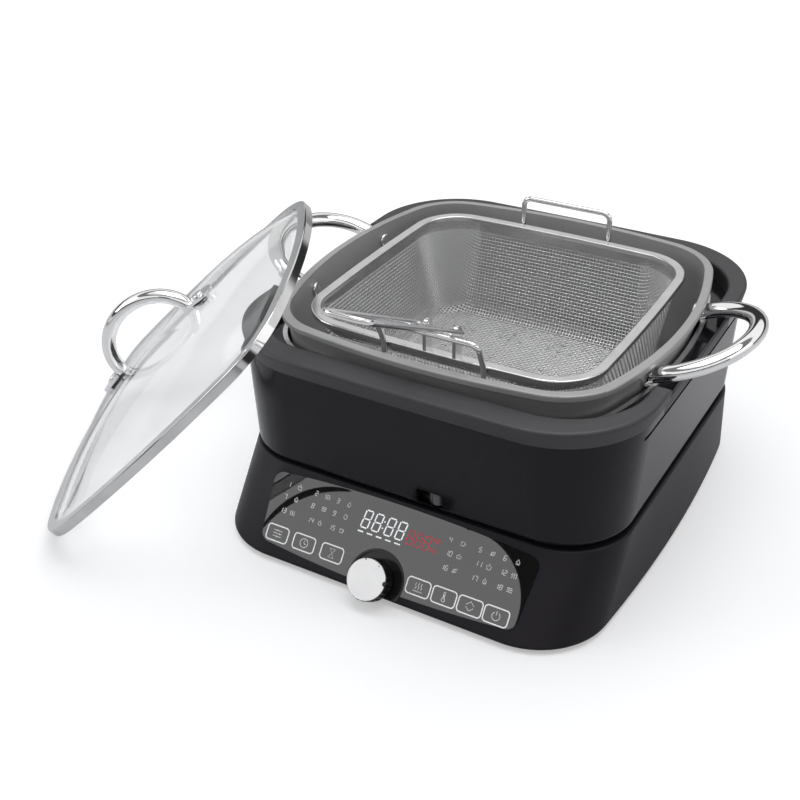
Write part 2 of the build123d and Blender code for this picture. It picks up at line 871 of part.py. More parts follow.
with BuildPart() as power_capacitor:
    with BuildSketch(Plane.XY.offset(power_top)):
        with Locations((power_board_x + capacitor_shift, power_board_y)):
            Circle(capacitor_radius)
    extrude(amount=capacitor_height)
    fillet(power_capacitor.edges().group_by(Axis.Z)[-1], capacitor_round)
finish(power_capacitor, "power_capacitor")

# Mains inlet: a flanged socket in the back of the base
with BuildPart() as mains_inlet:
    with BuildSketch(inlet_plane):
        RectangleRounded(inlet_width, inlet_tall, inlet_corner)
    extrude(amount=inlet_flange_thickness)
    with BuildSketch(inlet_plane):
        RectangleRounded(
            inlet_width - 2 * inlet_flange - 2 * running_gap,
            inlet_tall - 2 * inlet_flange - 2 * running_gap,
            inlet_corner - running_gap,
        )
    extrude(amount=-inlet_depth)
    with BuildSketch(inlet_plane.offset(inlet_flange_thickness)):
        RectangleRounded(
            inlet_width - 2 * inlet_flange - 2 * inlet_wall,
            inlet_tall - 2 * inlet_flange - inlet_wall,
            inlet_corner / 2,
        )
    extrude(amount=-(inlet_depth + inlet_flange_thickness - inlet_floor), mode=Mode.SUBTRACT)
finish(mains_inlet, "mains_inlet")

# Inlet pins: three flat blades on the socket's floor, the middle one lower
with BuildPart() as inlet_pins:
    with BuildSketch(inlet_plane.offset(inlet_floor - inlet_depth)):
        with Locations((-pin_spacing, earth_pin_drop / 2), (pin_spacing, earth_pin_drop / 2), (0, -earth_pin_drop / 2)):
            Rectangle(pin_width, pin_tall)
    extrude(amount=pin_length)
finish(inlet_pins, "inlet_pins")


def housing_section(height, grow):
    """Outline of the housing's outer face at a height."""
    share = (height - housing_bottom) / (housing_top - housing_bottom)
    return bowed_square(
        between(housing_bottom_half_width, housing_top_half_width, share),
        between(housing_bottom_half_depth, housing_top_half_depth, share),
        between(housing_bottom_corner, housing_top_corner, share),
        between(0, housing_bow, share),
        between(0, housing_bow, share),
        grow,
    )


def pot_section(height, grow):
    """Outline of the pot's outer wall at a height."""
    share = (height - pot_bottom) / (rim_bottom - pot_bottom)
    return bowed_square(
        between(pot_floor_half_width, rim_half_width - pot_lip, share),
        between(pot_floor_half_depth, rim_half_depth - pot_lip, share),
        between(pot_floor_corner, rim_corner - pot_lip, share),
        between(pot_floor_side_bow, rim_side_bow, share),
        between(pot_floor_end_bow, rim_end_bow, share),
        grow,
    )


# Outer shell of the housing: a glossy tapered wall, open above and below
latch_window_width = latch_window_right - latch_window_left
latch_window_middle = (latch_window_right + latch_window_left) / 2
with BuildPart() as outer_shell:
    with BuildSketch(Plane.XY.offset(housing_bottom)):
        add(housing_section(housing_bottom, 0))
    with BuildSketch(Plane.XY.offset(housing_top)):
        add(housing_section(housing_top, 0))
    loft(ruled=True)
    fillet(outer_shell.faces().sort_by(Axis.Z)[0].edges(), housing_foot_round)
    with BuildSketch(Plane.XY.offset(housing_floor_low)):
        add(housing_section(housing_floor_low, -housing_wall))
    with BuildSketch(Plane.XY.offset(housing_top - housing_wall)):
        add(housing_section(housing_top - housing_wall, -housing_wall))
    loft(ruled=True, mode=Mode.SUBTRACT)
    with BuildSketch(Plane.XY.offset(housing_bottom)):
        add(bowed_square(housing_mouth_half_width, housing_mouth_half_depth, housing_mouth_corner))
    extrude(amount=housing_wall, mode=Mode.SUBTRACT)
    with BuildSketch(Plane.XY.offset(housing_top - housing_wall)):
        add(pot_section(housing_top, liner_gap + liner_sheet + slip_gap))
    extrude(amount=housing_wall, mode=Mode.SUBTRACT)
    # Side grooves, and the rebates that the matte trims lie in
    with BuildSketch(Plane.XY.offset(groove_low)):
        Rectangle(3 * housing_top_half_width, 2 * groove_half_length)
        add(housing_section(groove_low, -groove_depth), mode=Mode.SUBTRACT)
    extrude(amount=groove_width, mode=Mode.SUBTRACT)
    with BuildSketch(Plane.XY.offset(trim_low)):
        Rectangle(3 * housing_top_half_width, 2 * grip_end)
        add(housing_section(trim_low, -trim_depth), mode=Mode.SUBTRACT)
    extrude(amount=housing_top - trim_low, mode=Mode.SUBTRACT)
    # Latch window in the front wall, with a rail above the slider behind it
    with BuildSketch(Plane.XZ.offset(housing_bottom_half_depth - housing_foot_round)):
        with Locations((latch_window_middle, (latch_window_low + latch_window_high) / 2)):
            RectangleRounded(latch_window_width, latch_window_high - latch_window_low, 2)
    extrude(amount=2 * housing_foot_round, mode=Mode.SUBTRACT)
    with BuildSketch(Plane.XY.offset(latch_window_high + slip_gap)):
        with Locations((latch_x, rail_y)):
            Rectangle(2 * latch_plate_width, rail_depth)
    extrude(amount=latch_rail)
    with BuildSketch(Plane.XY.offset(housing_top)):
        with GridLocations(2 * grip_screw_x, 2 * grip_screw_y, 2, 2):
            Circle(screw_radius)
    extrude(amount=-housing_wall, mode=Mode.SUBTRACT)
finish(outer_shell, "outer_shell")

# Housing floor: a ring plate on the shell's lower lip, with pads that stand on the deck
with BuildPart() as housing_floor:
    with BuildSketch(Plane.XY.offset(housing_floor_low)):
        add(bowed_square(floor_half_width, floor_half_depth, floor_corner))
        add(plate_outline(floor_plate_gap), mode=Mode.SUBTRACT)
        with Locations((latch_slot_x, -latch_tab_y)):
            Rectangle(latch_slot_width, latch_plate_thickness + 2 * latch_play, mode=Mode.SUBTRACT)
    extrude(amount=floor_thickness)
    with BuildSketch(Plane.XY.offset(deck_height + rest_gap)):
        with GridLocations(2 * pad_x, 2 * pad_y, 2, 2):
            Circle(pad_radius)
    extrude(amount=housing_floor_low - deck_height - rest_gap)
finish(housing_floor, "housing_floor")

# Inner liner: a sheet sleeve round the pot, hung by its flange on the shell's top
with BuildPart() as inner_liner:
    with BuildSketch(Plane.XY.offset(housing_floor_top)):
        add(pot_section(housing_floor_top, liner_gap + liner_sheet))
    with BuildSketch(Plane.XY.offset(housing_top)):
        add(pot_section(housing_top, liner_gap + liner_sheet))
    loft(ruled=True)
    with BuildSketch(Plane.XY.offset(housing_top)):
        add(pot_section(housing_top, liner_gap + liner_sheet + liner_flange))
    extrude(amount=liner_sheet)
    with BuildSketch(Plane.XY.offset(housing_floor_top)):
        add(pot_section(housing_floor_top, liner_gap))
    with BuildSketch(Plane.XY.offset(housing_top + liner_sheet)):
        add(pot_section(housing_top + liner_sheet, liner_gap))
    loft(ruled=True, mode=Mode.SUBTRACT)
finish(inner_liner, "inner_liner")


def grip_low_outline(grow):
    """Outer outline of the grips where they stand on the shell."""
    return bowed_square(
        grip_low_half_width, grip_low_half_depth, grip_low_corner, housing_bow, housing_bow, grow
    )


def grip_inner_outline(grow):
    """Inner outline of the grips, round the pot."""
    return bowed_square(
        grip_inner_half_width, grip_inner_half_depth, grip_inner_corner, housing_bow, housing_bow, grow
    )


# Front grip: a hollow matte moulding that wraps the two front corners
with BuildPart() as front_grip:
    with BuildSketch(Plane.XY.offset(housing_top)):
        add(grip_low_outline(0))
    with BuildSketch(Plane.XY.offset(housing_top + grip_height)):
        add(bowed_square(grip_half_width, grip_half_depth, grip_corner, housing_bow, housing_bow))
    loft(ruled=True)
    with BuildSketch(Plane.XY.offset(housing_top)):
        add(grip_inner_outline(0))
        with Locations((0, grip_half_depth - grip_end)):
            Rectangle(3 * grip_half_width, 2 * grip_half_depth)
    extrude(amount=grip_height, mode=Mode.SUBTRACT)
    fillet(front_grip.faces().sort_by(Axis.Z)[-1].edges(), grip_round)
    with BuildSketch(Plane.XY.offset(housing_top)):
        add(grip_low_outline(-grip_wall))
        add(grip_inner_outline(grip_wall), mode=Mode.SUBTRACT)
        with Locations((0, grip_half_depth - grip_end - grip_wall)):
            Rectangle(3 * grip_half_width, 2 * grip_half_depth, mode=Mode.SUBTRACT)
    extrude(amount=grip_height - grip_wall, mode=Mode.SUBTRACT)
    with BuildSketch(Plane.XY.offset(housing_top)):
        with Locations((-grip_screw_x, -grip_screw_y), (grip_screw_x, -grip_screw_y)):
            Circle(boss_radius)
    extrude(amount=grip_height - grip_wall)
    with BuildSketch(Plane.XY.offset(housing_top)):
        with Locations((-grip_screw_x, -grip_screw_y), (grip_screw_x, -grip_screw_y)):
            Circle(screw_radius)
    extrude(amount=grip_height - grip_wall, mode=Mode.SUBTRACT)
finish(front_grip, "front_grip")

# Back grip: the same moulding, turned to the back
with BuildPart() as back_grip:
    mirror(front_grip.part, about=Plane.XZ)
finish(back_grip, "back_grip")

# Grip screws, up through the shell's top into the grips
with BuildPart() as grip_screws:
    with BuildSketch(Plane.XY.offset(housing_top - housing_wall)):
        with GridLocations(2 * grip_screw_x, 2 * grip_screw_y, 2, 2):
            Circle(screw_head_radius)
    extrude(amount=-screw_head_height)
    with BuildSketch(Plane.XY.offset(housing_top - housing_wall)):
        with GridLocations(2 * grip_screw_x, 2 * grip_screw_y, 2, 2):
            Circle(screw_radius)
    extrude(amount=screw_length)
finish(grip_screws, "grip_screws")

# Side trims: matte strips in the rebates between the grips
with BuildPart() as side_trims:
    with BuildSketch(Plane.XY.offset(trim_low)):
        add(housing_section(trim_low, trim_proud))
        add(housing_section(trim_low, -trim_depth), mode=Mode.SUBTRACT)
        with Locations((0, grip_half_depth + grip_end), (0, -grip_half_depth - grip_end)):
            Rectangle(3 * grip_half_width, 2 * grip_half_depth, mode=Mode.SUBTRACT)
    extrude(amount=housing_top - trim_low)
    fillet(side_trims.edges().group_by(Axis.Z)[-1].filter_by(GeomType.CIRCLE), trim_top_round)
finish(side_trims, "side_trims")

# Latch slider: a nose in the window, a plate behind the wall, and a toe that reaches into the deck
with BuildPart() as latch_slider:
    with BuildSketch(Plane.XY.offset(latch_plate_low)):
        with Locations((latch_x + latch_plate_shift, latch_plate_y)):
            Rectangle(latch_plate_width, latch_plate_thickness)
    extrude(amount=latch_window_high - latch_plate_low)
    with BuildSketch(Plane.XY.offset((latch_window_low + latch_window_high - latch_nose_height) / 2)):
        with Locations((latch_x, latch_plate_y)):
            Circle(latch_nose_radius)
        with Locations((latch_x, latch_plate_y + latch_nose_radius)):
            Rectangle(2 * latch_nose_radius, 2 * latch_nose_radius, mode=Mode.SUBTRACT)
    extrude(amount=latch_nose_height)
    fillet(latch_slider.edges().filter_by(GeomType.CIRCLE), latch_nose_round)
    with BuildSketch(Plane.XY.offset(housing_floor_top + slip_gap)):
        with Locations((latch_tab_x, (latch_plate_y - latch_tab_y) / 2)):
            Rectangle(latch_tab_width, latch_tab_y + latch_plate_y)
    extrude(amount=latch_arm_height)
    with BuildSketch(Plane.XY.offset(latch_toe_low)):
        with Locations((latch_tab_x, -latch_tab_y)):
            Rectangle(latch_tab_width, latch_plate_thickness)
    extrude(amount=housing_floor_top + slip_gap + latch_arm_height - latch_toe_low)
    with BuildSketch(Plane.XY.offset(latch_toe_low)):
        with Locations((latch_tab_x - (latch_tab_width + latch_toe) / 2, -latch_tab_y)):
            Rectangle(latch_toe, latch_plate_thickness)
    extrude(amount=latch_toe_height)
finish(latch_slider, "latch_slider")

# The pot's inside, and the solid its outer wall bounds
with BuildPart() as pot_space:
    with BuildSketch(Plane.XY.offset(pot_bottom + pot_base)):
        add(pot_section(pot_bottom + pot_base, -pot_wall))
    with BuildSketch(Plane.XY.offset(rim_height + rest_gap)):
        add(pot_section(rim_height + rest_gap, -pot_wall))
    loft(ruled=True)
    fillet(pot_space.faces().sort_by(Axis.Z)[0].edges(), pot_bottom_round - pot_wall)
with BuildPart() as pot_envelope:
    with BuildSketch(Plane.XY.offset(pot_bottom)):
        add(pot_section(pot_bottom, running_gap))
    with BuildSketch(Plane.XY.offset(rim_height)):
        add(pot_section(rim_height, running_gap))
    loft(ruled=True)

# Where the handles meet the bulging, leaning wall
wall_lean = atan2(rim_half_width - pot_lip - pot_floor_half_width, rim_bottom - pot_bottom)
handle_share = (handle_height - pot_bottom) / (rim_bottom - pot_bottom)
handle_wall_x = between(pot_floor_half_width, rim_half_width - pot_lip, handle_share)
wall_bow = between(pot_floor_side_bow, rim_side_bow, handle_share)
wall_half_chord = between(
    pot_floor_half_depth - pot_floor_end_bow, rim_half_depth - pot_lip - rim_end_bow, handle_share
)
side_radius = (wall_half_chord**2 + wall_bow**2) / (2 * wall_bow)
wall_angle = asin(handle_span / side_radius)
handle_foot_x = handle_wall_x - side_radius * (1 - cos(wall_angle))
handle_angle = radians(handle_lift_angle)
handle_plane = Plane(
    origin=(handle_foot_x, 0, handle_height),
    x_dir=(cos(handle_angle), 0, sin(handle_angle)),
    z_dir=(-sin(handle_angle), 0, cos(handle_angle)),
)
foot_planes = [
    Plane(
        origin=(side * handle_foot_x, end * handle_span, handle_height),
        x_dir=(-end * sin(wall_angle), side * cos(wall_angle), 0),
        z_dir=(
            side * cos(wall_angle) * cos(wall_lean),
            end * sin(wall_angle) * cos(wall_lean),
            -sin(wall_lean),
        ),
    )
    for side in (1, -1)
    for end in (1, -1)
]

# Pot: a deep rounded-square vessel with a turned-out lip
with BuildPart() as pot:
    with BuildSketch(Plane.XY.offset(pot_bottom)):
        add(pot_section(pot_bottom, 0))
    with BuildSketch(Plane.XY.offset(rim_bottom)):
        add(pot_section(rim_bottom, 0))
    loft(ruled=True)
    fillet(pot.faces().sort_by(Axis.Z)[0].edges(), pot_bottom_round)
    with BuildSketch(Plane.XY.offset(rim_bottom)):
        add(bowed_square(rim_half_width, rim_half_depth, rim_corner, rim_side_bow, rim_end_bow))
    extrude(amount=rim_thickness)
    fillet(pot.edges().group_by(Axis.Z)[-1], rim_edge_round)
    add(pot_space.part, mode=Mode.SUBTRACT)
    with BuildSketch(*[plane.offset(-2 * pot_wall) for plane in foot_planes]):
        Circle(rivet_radius)
    extrude(amount=3 * pot_wall, mode=Mode.SUBTRACT)
finish(pot, "pot")

# Right pot handle: a thick bowed rod on two oval feet, cut to the wall it sits on
with BuildPart() as pot_handle_right:
    with BuildLine(handle_plane) as handle_path:
        Line((-pot_wall, -handle_span), (handle_straight, -handle_span))
        EllipticalCenterArc((handle_straight, 0), handle_reach - handle_straight, handle_span, -90, arc_size=180)
        Line((handle_straight, handle_span), (-pot_wall, handle_span))
    with BuildSketch(Plane(handle_path.wire() @ 0, x_dir=(0, 1, 0), z_dir=handle_path.wire() % 0)):
        Ellipse(handle_tube_width, handle_tube_height)
    sweep()
    with BuildSketch(*[plane.offset(-pot_wall) for plane in foot_planes[:2]]):
        Ellipse(handle_flange_half_width, handle_flange_half_height)
    extrude(amount=pot_wall + handle_flange_thickness)
    add(pot_envelope.part, mode=Mode.SUBTRACT)
    with BuildSketch(*[plane.offset(-2 * pot_wall) for plane in foot_planes[:2]]):
        Circle(rivet_radius)
    extrude(amount=2 * pot_wall + handle_flange_thickness, mode=Mode.SUBTRACT)
finish(pot_handle_right, "pot_handle_right")

# Left pot handle: the mirror image
with BuildPart() as pot_handle_left:
    mirror(pot_handle_right.part, about=Plane.YZ)
finish(pot_handle_left, "pot_handle_left")


def domed_head(seat, radius, height):
    """A low round rivet head that stands on a plane."""
    with BuildPart() as head:
        with BuildSketch(seat):
            Circle(radius)
        extrude(amount=height)
        fillet(head.edges().group_by(Axis(seat.origin, seat.z_dir))[-1], height * rivet_head_share)
    return head.part


# Pot rivets: round heads inside the pot, shanks through the wall into the handles' feet
with BuildPart() as pot_rivets:
    for plane in foot_planes:
        add(domed_head((-plane).offset(pot_wall + rest_gap), rivet_head_radius, rivet_head_height))
    with BuildSketch(*[plane.offset(-pot_wall - rest_gap) for plane in foot_planes]):
        Circle(rivet_radius - shank_gap)
    extrude(amount=pot_wall + handle_flange_thickness)
finish(pot_rivets, "pot_rivets")

# Steam rack: a pressed plate with clusters of holes, a turned-down edge and four legs
hole_cross = [(0, 0), (rack_hole_pitch, 0), (-rack_hole_pitch, 0), (0, rack_hole_pitch), (0, -rack_hole_pitch)]
with BuildPart() as steam_rack:
    with BuildSketch(Plane.XY.offset(rack_top - rack_lip)):
        add(bowed_square(rack_half_width, rack_half_depth, rack_corner))
        add(bowed_square(rack_half_width, rack_half_depth, rack_corner, grow=-rack_sheet), mode=Mode.SUBTRACT)
    extrude(amount=rack_lip)
    with BuildSketch(Plane.XY.offset(rack_plate_low)):
        add(bowed_square(rack_half_width, rack_half_depth, rack_corner, grow=-rack_sheet / 2))
        with GridLocations(rack_cluster_pitch, rack_cluster_pitch, rack_cluster_count, rack_cluster_count):
            with Locations(*hole_cross):
                RegularPolygon(rack_hole_radius, 8, mode=Mode.SUBTRACT)
    extrude(amount=rack_sheet)
    with BuildSketch(Plane.XY.offset(pot_bottom + pot_base + rest_gap)):
        with GridLocations(2 * rack_leg_x, 2 * rack_leg_y, 2, 2):
            Circle(rack_leg_radius)
    extrude(amount=rack_plate_low - pot_bottom - pot_base - rest_gap)
finish(steam_rack, "steam_rack")


def mesh_section(height, grow):
    """Outline of the basket's mesh wall at a height."""
    share = (height - mesh_bottom) / (basket_rim_low - mesh_bottom)
    return bowed_square(
        between(mesh_floor_half_width, basket_half_width - mesh_inset, share),
        between(mesh_floor_half_depth, basket_half_depth - mesh_inset, share),
        between(mesh_floor_corner, basket_corner - mesh_inset, share),
        between(basket_side_bow / 2, basket_side_bow, share),
        between(basket_end_bow / 2, basket_end_bow, share),
        grow,
    )


# Basket mesh: a tapered bag of wide mesh, solid in a strip under the rim and at the corners
with BuildPart() as basket_mesh:
    with BuildSketch(Plane.XY.offset(mesh_bottom)):
        add(mesh_section(mesh_bottom, 0))
    with BuildSketch(Plane.XY.offset(basket_rim_low)):
        add(mesh_section(basket_rim_low, 0))
    loft(ruled=True)
    with BuildSketch(Plane.XY.offset(mesh_bottom + mesh_sheet)):
        add(mesh_section(mesh_bottom + mesh_sheet, -mesh_sheet))
    with BuildSketch(Plane.XY.offset(basket_rim_low)):
        add(mesh_section(basket_rim_low, -mesh_sheet))
    loft(ruled=True, mode=Mode.SUBTRACT)
    with BuildSketch(Plane.XY.offset(mesh_bottom)):
        with GridLocations(mesh_pitch, mesh_pitch, mesh_floor_windows, mesh_floor_windows):
            Rectangle(mesh_window, mesh_window)
    extrude(amount=mesh_sheet, mode=Mode.SUBTRACT)
    for wall_plane in (Plane.XZ, Plane.YZ):
        with BuildSketch(wall_plane):
            with Locations((0, mesh_middle_height)):
                with GridLocations(mesh_pitch, mesh_pitch, mesh_columns, mesh_rows):
                    Rectangle(mesh_window, mesh_window)
        extrude(amount=2 * basket_half_width, both=True, mode=Mode.SUBTRACT)
finish(basket_mesh, "basket_mesh")


def basket_rim_outline(grow):
    """Outline of the basket's rim."""
    return bowed_square(
        basket_half_width, basket_half_depth, basket_corner, basket_side_bow, basket_end_bow, grow
    )


# Basket rim: a flat band, rounded above
with BuildPart() as basket_rim:
    with BuildSketch(Plane.XY.offset(basket_rim_low)):
        add(basket_rim_outline(0))
        add(basket_rim_outline(-basket_rim_band), mode=Mode.SUBTRACT)
    extrude(amount=basket_rim_height)
    fillet(basket_rim.edges().group_by(Axis.Z)[-1], basket_rim_round)
finish(basket_rim, "basket_rim")

# Where the handle's wire crosses the front loop, the loop stays just under it
bow_slope = radians(bow_angle)
front_bar_height = (
    pivot_height + (front_bar_y - pivot_y) * tan(bow_slope) - (2 * wire_radius + rest_gap) / cos(bow_slope)
)
loop_leg_y = basket_half_depth + wire_radius + running_gap


def wire_loop(points, bend):
    """A round wire along straight runs joined by bends."""
    with BuildPart() as wire:
        with BuildLine() as route:
            FilletPolyline(*points, radius=bend)
        with BuildSketch(Plane(route.wire() @ 0, z_dir=route.wire() % 0)):
            Circle(wire_radius)
        sweep()
    return wire.part


# Front loop: outside the rim, leaning out to the bar that the handle lies on
with BuildPart() as basket_loop_front:
    add(
        wire_loop(
            [
                (front_loop_x - front_loop_half_width, -loop_leg_y, loop_foot_height),
                (front_loop_x - front_loop_half_width, -loop_leg_y, basket_rim_top),
                (front_loop_x - front_loop_half_width, -front_bar_y, front_bar_height),
                (front_loop_x + front_loop_half_width, -front_bar_y, front_bar_height),
                (front_loop_x + front_loop_half_width, -loop_leg_y, basket_rim_top),
                (front_loop_x + front_loop_half_width, -loop_leg_y, loop_foot_height),
            ],
            loop_bend,
        )
    )
finish(basket_loop_front, "basket_loop_front")

# Rear loop: upright behind the rim
with BuildPart() as basket_loop_rear:
    add(
        wire_loop(
            [
                (rear_loop_x - rear_loop_half_width, loop_leg_y, loop_foot_height),
                (rear_loop_x - rear_loop_half_width, loop_leg_y, rear_loop_top),
                (rear_loop_x + rear_loop_half_width, loop_leg_y, rear_loop_top),
                (rear_loop_x + rear_loop_half_width, loop_leg_y, loop_foot_height),
            ],
            loop_bend,
        )
    )
finish(basket_loop_rear, "basket_loop_rear")

# Handle brackets: two ears that stand on the rim and hold the handle's ends
with BuildPart() as handle_brackets:
    for side in (-1, 1):
        with BuildSketch(Plane.YZ.offset(handle_x + side * bracket_half_gap)):
            with Locations((-pivot_y, pivot_height)):
                Circle(bracket_half_width)
            with Locations((-pivot_y, (pivot_height + basket_rim_top) / 2)):
                Rectangle(2 * bracket_half_width, pivot_height - basket_rim_top)
            with Locations((-pivot_y, pivot_height)):
                Circle(wire_radius + running_gap, mode=Mode.SUBTRACT)
        extrude(amount=side * bracket_thickness)
finish(handle_brackets, "handle_brackets")

# Basket handle: a long wire bow whose turned-in ends pivot in the brackets
bow_tip = (-pivot_y - bow_length * cos(bow_slope), pivot_height + bow_length * sin(bow_slope))
pin_end = bracket_half_gap - rest_gap
with BuildPart() as basket_handle:
    with BuildLine() as bow_path:
        FilletPolyline(
            (handle_x - pin_end, -pivot_y, pivot_height),
            (handle_x - bow_half_width, -pivot_y, pivot_height),
            (handle_x - bow_half_width, bow_tip[0], bow_tip[1]),
            (handle_x + bow_half_width, bow_tip[0], bow_tip[1]),
            (handle_x + bow_half_width, -pivot_y, pivot_height),
            (handle_x + pin_end, -pivot_y, pivot_height),
            radius=[bow_turn_in, bow_corner, bow_corner, bow_turn_in],
        )
    with BuildSketch(Plane(bow_path.wire() @ 0, z_dir=bow_path.wire() % 0)):
        Circle(wire_radius)
    sweep()
finish(basket_handle, "basket_handle")

# The leaning lid's own plane: its face looks away from the cooker, its lower edge is on the table
lean = radians(lid_lean)
turn = radians(lid_turn)
spin = radians(lid_spin)
lid_normal = Vector(-sin(lean) * cos(turn), -sin(lean) * sin(turn), cos(lean))
lid_uphill = Vector(cos(lean) * cos(turn), cos(lean) * sin(turn), sin(lean))
lid_height = lid_half_width * sin(lean) + lid_skirt * cos(lean) + rest_gap
lid_plane = Plane(
    origin=(lid_x, lid_y, lid_height),
    x_dir=lid_uphill * cos(spin) + lid_normal.cross(lid_uphill) * sin(spin),
    z_dir=lid_normal,
)


def lid_outline(grow):
    """Outline of the lid, drawn in for its sheet, its band and its glass."""
    return bowed_square(lid_half_width, lid_half_depth, lid_corner, lid_side_bow, lid_end_bow, grow)


def dome_section(step, inset):
    """Outline of the glass dome, shrunk towards its middle by a step."""
    return lid_outline(-lid_band - inset).scale(step)


def dome_height(step):
    """Height of the dome's outer face above the glass's flat edge."""
    return lid_dome * (1 - step**dome_power)


# Where the handle's feet sit on the sloping glass
lid_foot_x = lid_handle_half_span + lid_handle_height + slip_gap + lid_rivet_head_radius
foot_step = lid_foot_x / (lid_half_width - lid_band)
foot_rise = dome_height(foot_step) - lid_sheet
foot_tilt = atan2(lid_dome * dome_power * foot_step ** (dome_power - 1), lid_half_width - lid_band)
glass_planes = []
for side in (-1, 1):
    glass_planes.append(
        Plane(
            origin=lid_plane.from_local_coords(Vector(side * lid_foot_x, 0, foot_rise)),
            x_dir=lid_plane.x_dir * cos(foot_tilt) - lid_plane.z_dir * side * sin(foot_tilt),
            z_dir=lid_plane.z_dir * cos(foot_tilt) + lid_plane.x_dir * side * sin(foot_tilt),
        )
    )

# Lid glass: a flat clamped edge and a dome blown up from it, the same thickness throughout
with BuildPart() as lid_glass:
    with BuildSketch(lid_plane.offset(-lid_sheet)):
        add(lid_outline(-lid_sheet - running_gap))
    extrude(amount=-lid_glass_thickness)
    for step in dome_steps:
        with BuildSketch(lid_plane.offset(dome_height(step) - lid_sheet)):
            add(dome_section(step, 0))
    loft()
    for step in dome_steps:
        with BuildSketch(lid_plane.offset(dome_height(step) - lid_sheet - lid_glass_thickness)):
            add(dome_section(step, lid_glass_thickness / 2))
    loft(mode=Mode.SUBTRACT)
    with BuildSketch(*[plane.offset(-2 * lid_glass_thickness) for plane in glass_planes]):
        Circle(lid_rivet_radius)
    extrude(amount=3 * lid_glass_thickness, mode=Mode.SUBTRACT)
finish(lid_glass, "lid_glass")

# Lid rim: a pressed channel that clamps the glass, with a skirt below
with BuildPart() as lid_rim:
    with BuildSketch(lid_plane.offset(-lid_skirt)):
        add(lid_outline(0))
    extrude(amount=lid_skirt)
    fillet(lid_rim.edges().group_by(Axis(lid_plane.origin, lid_plane.z_dir))[-1], lid_sheet)
    with BuildSketch(lid_plane):
        add(lid_outline(-lid_band))
    extrude(amount=-lid_skirt, mode=Mode.SUBTRACT)
    with BuildSketch(lid_plane.offset(-lid_sheet)):
        add(lid_outline(-lid_sheet))
    extrude(amount=-lid_glass_thickness, mode=Mode.SUBTRACT)
    with BuildSketch(lid_plane.offset(-lid_skirt)):
        add(lid_outline(-lid_sheet))
        add(lid_outline(-lid_sheet - lid_lip), mode=Mode.SUBTRACT)
    extrude(amount=lid_skirt - 2 * lid_sheet - lid_glass_thickness, mode=Mode.SUBTRACT)
finish(lid_rim, "lid_rim")

# Lid handle: a bowed rod across the dome, on two flattened feet that follow the glass
arch_plane = Plane(origin=lid_plane.origin, x_dir=lid_plane.x_dir, z_dir=-lid_plane.y_dir)
arch_low = foot_rise + washer_thickness + lid_foot_thickness / 2
with BuildPart() as lid_handle:
    with BuildLine(arch_plane) as arch_path:
        EllipticalCenterArc(
            (0, arch_low), lid_handle_half_span, lid_handle_top - lid_handle_height - arch_low, 0, arc_size=180
        )
    with BuildSketch(Plane(arch_path.wire() @ 0, x_dir=lid_plane.y_dir, z_dir=arch_path.wire() % 0)):
        Ellipse(lid_handle_width, lid_handle_height)
    sweep()
    with BuildSketch(*[plane.offset(washer_thickness) for plane in glass_planes]):
        SlotOverall(lid_foot_length, lid_foot_width)
    extrude(amount=lid_foot_thickness)
    with BuildSketch(*[plane.offset(washer_thickness) for plane in glass_planes]):
        Circle(lid_rivet_radius)
    extrude(amount=lid_foot_thickness, mode=Mode.SUBTRACT)
finish(lid_handle, "lid_handle")

# Lid washers: soft rings between the handle's feet and the glass
with BuildPart() as lid_washers:
    with BuildSketch(*glass_planes):
        Circle(washer_radius)
        Circle(lid_rivet_radius, mode=Mode.SUBTRACT)
    extrude(amount=washer_thickness)
finish(lid_washers, "lid_washers")

# Lid rivets: a head on each foot, a shank through the glass and a head under it
rivet_top = washer_thickness + lid_foot_thickness
rivet_foot = -lid_glass_thickness - rest_gap
with BuildPart() as lid_rivets:
    for plane in glass_planes:
        add(domed_head(plane.offset(rivet_top), lid_rivet_head_radius, lid_rivet_head_height))
        add(domed_head((-plane).offset(-rivet_foot), lid_rivet_head_radius, lid_rivet_head_height))
    with BuildSketch(*[plane.offset(rivet_foot) for plane in glass_planes]):
        Circle(lid_rivet_radius - shank_gap)
    extrude(amount=rivet_top - rivet_foot)
finish(lid_rivets, "lid_rivets")
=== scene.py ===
from math import atan2, cos, hypot, pi, radians, sin, sqrt, tan

import bpy
from mathutils import Matrix, Vector


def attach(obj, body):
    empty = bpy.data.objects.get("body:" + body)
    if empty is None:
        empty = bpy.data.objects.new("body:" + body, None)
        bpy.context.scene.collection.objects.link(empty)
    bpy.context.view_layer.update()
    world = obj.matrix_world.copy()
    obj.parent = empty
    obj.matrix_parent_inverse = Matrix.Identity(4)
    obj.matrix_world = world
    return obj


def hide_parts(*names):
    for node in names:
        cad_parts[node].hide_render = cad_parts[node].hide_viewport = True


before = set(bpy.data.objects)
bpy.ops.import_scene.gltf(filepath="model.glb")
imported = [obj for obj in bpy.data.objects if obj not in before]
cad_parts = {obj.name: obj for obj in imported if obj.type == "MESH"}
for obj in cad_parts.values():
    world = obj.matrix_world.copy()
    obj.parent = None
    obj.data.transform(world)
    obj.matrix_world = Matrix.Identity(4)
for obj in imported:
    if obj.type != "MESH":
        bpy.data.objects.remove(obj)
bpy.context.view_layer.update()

# Camera: a short telephoto in front of the cooker and a little to its right.
# It looks down at about 32 degrees and leans over by a little more than one.
camera_place = Vector((0.3371, -0.7082, 0.5472))
camera_azimuth = radians(30.939)
camera_elevation = radians(31.782)
camera_roll = radians(-1.227)
camera_lens = 54.27
camera_nearest = 0.01
backward = Vector(
    (
        sin(camera_azimuth) * cos(camera_elevation),
        -cos(camera_azimuth) * cos(camera_elevation),
        sin(camera_elevation),
    )
)
level = Vector((cos(camera_azimuth), sin(camera_azimuth), 0))
steep = backward.cross(level)
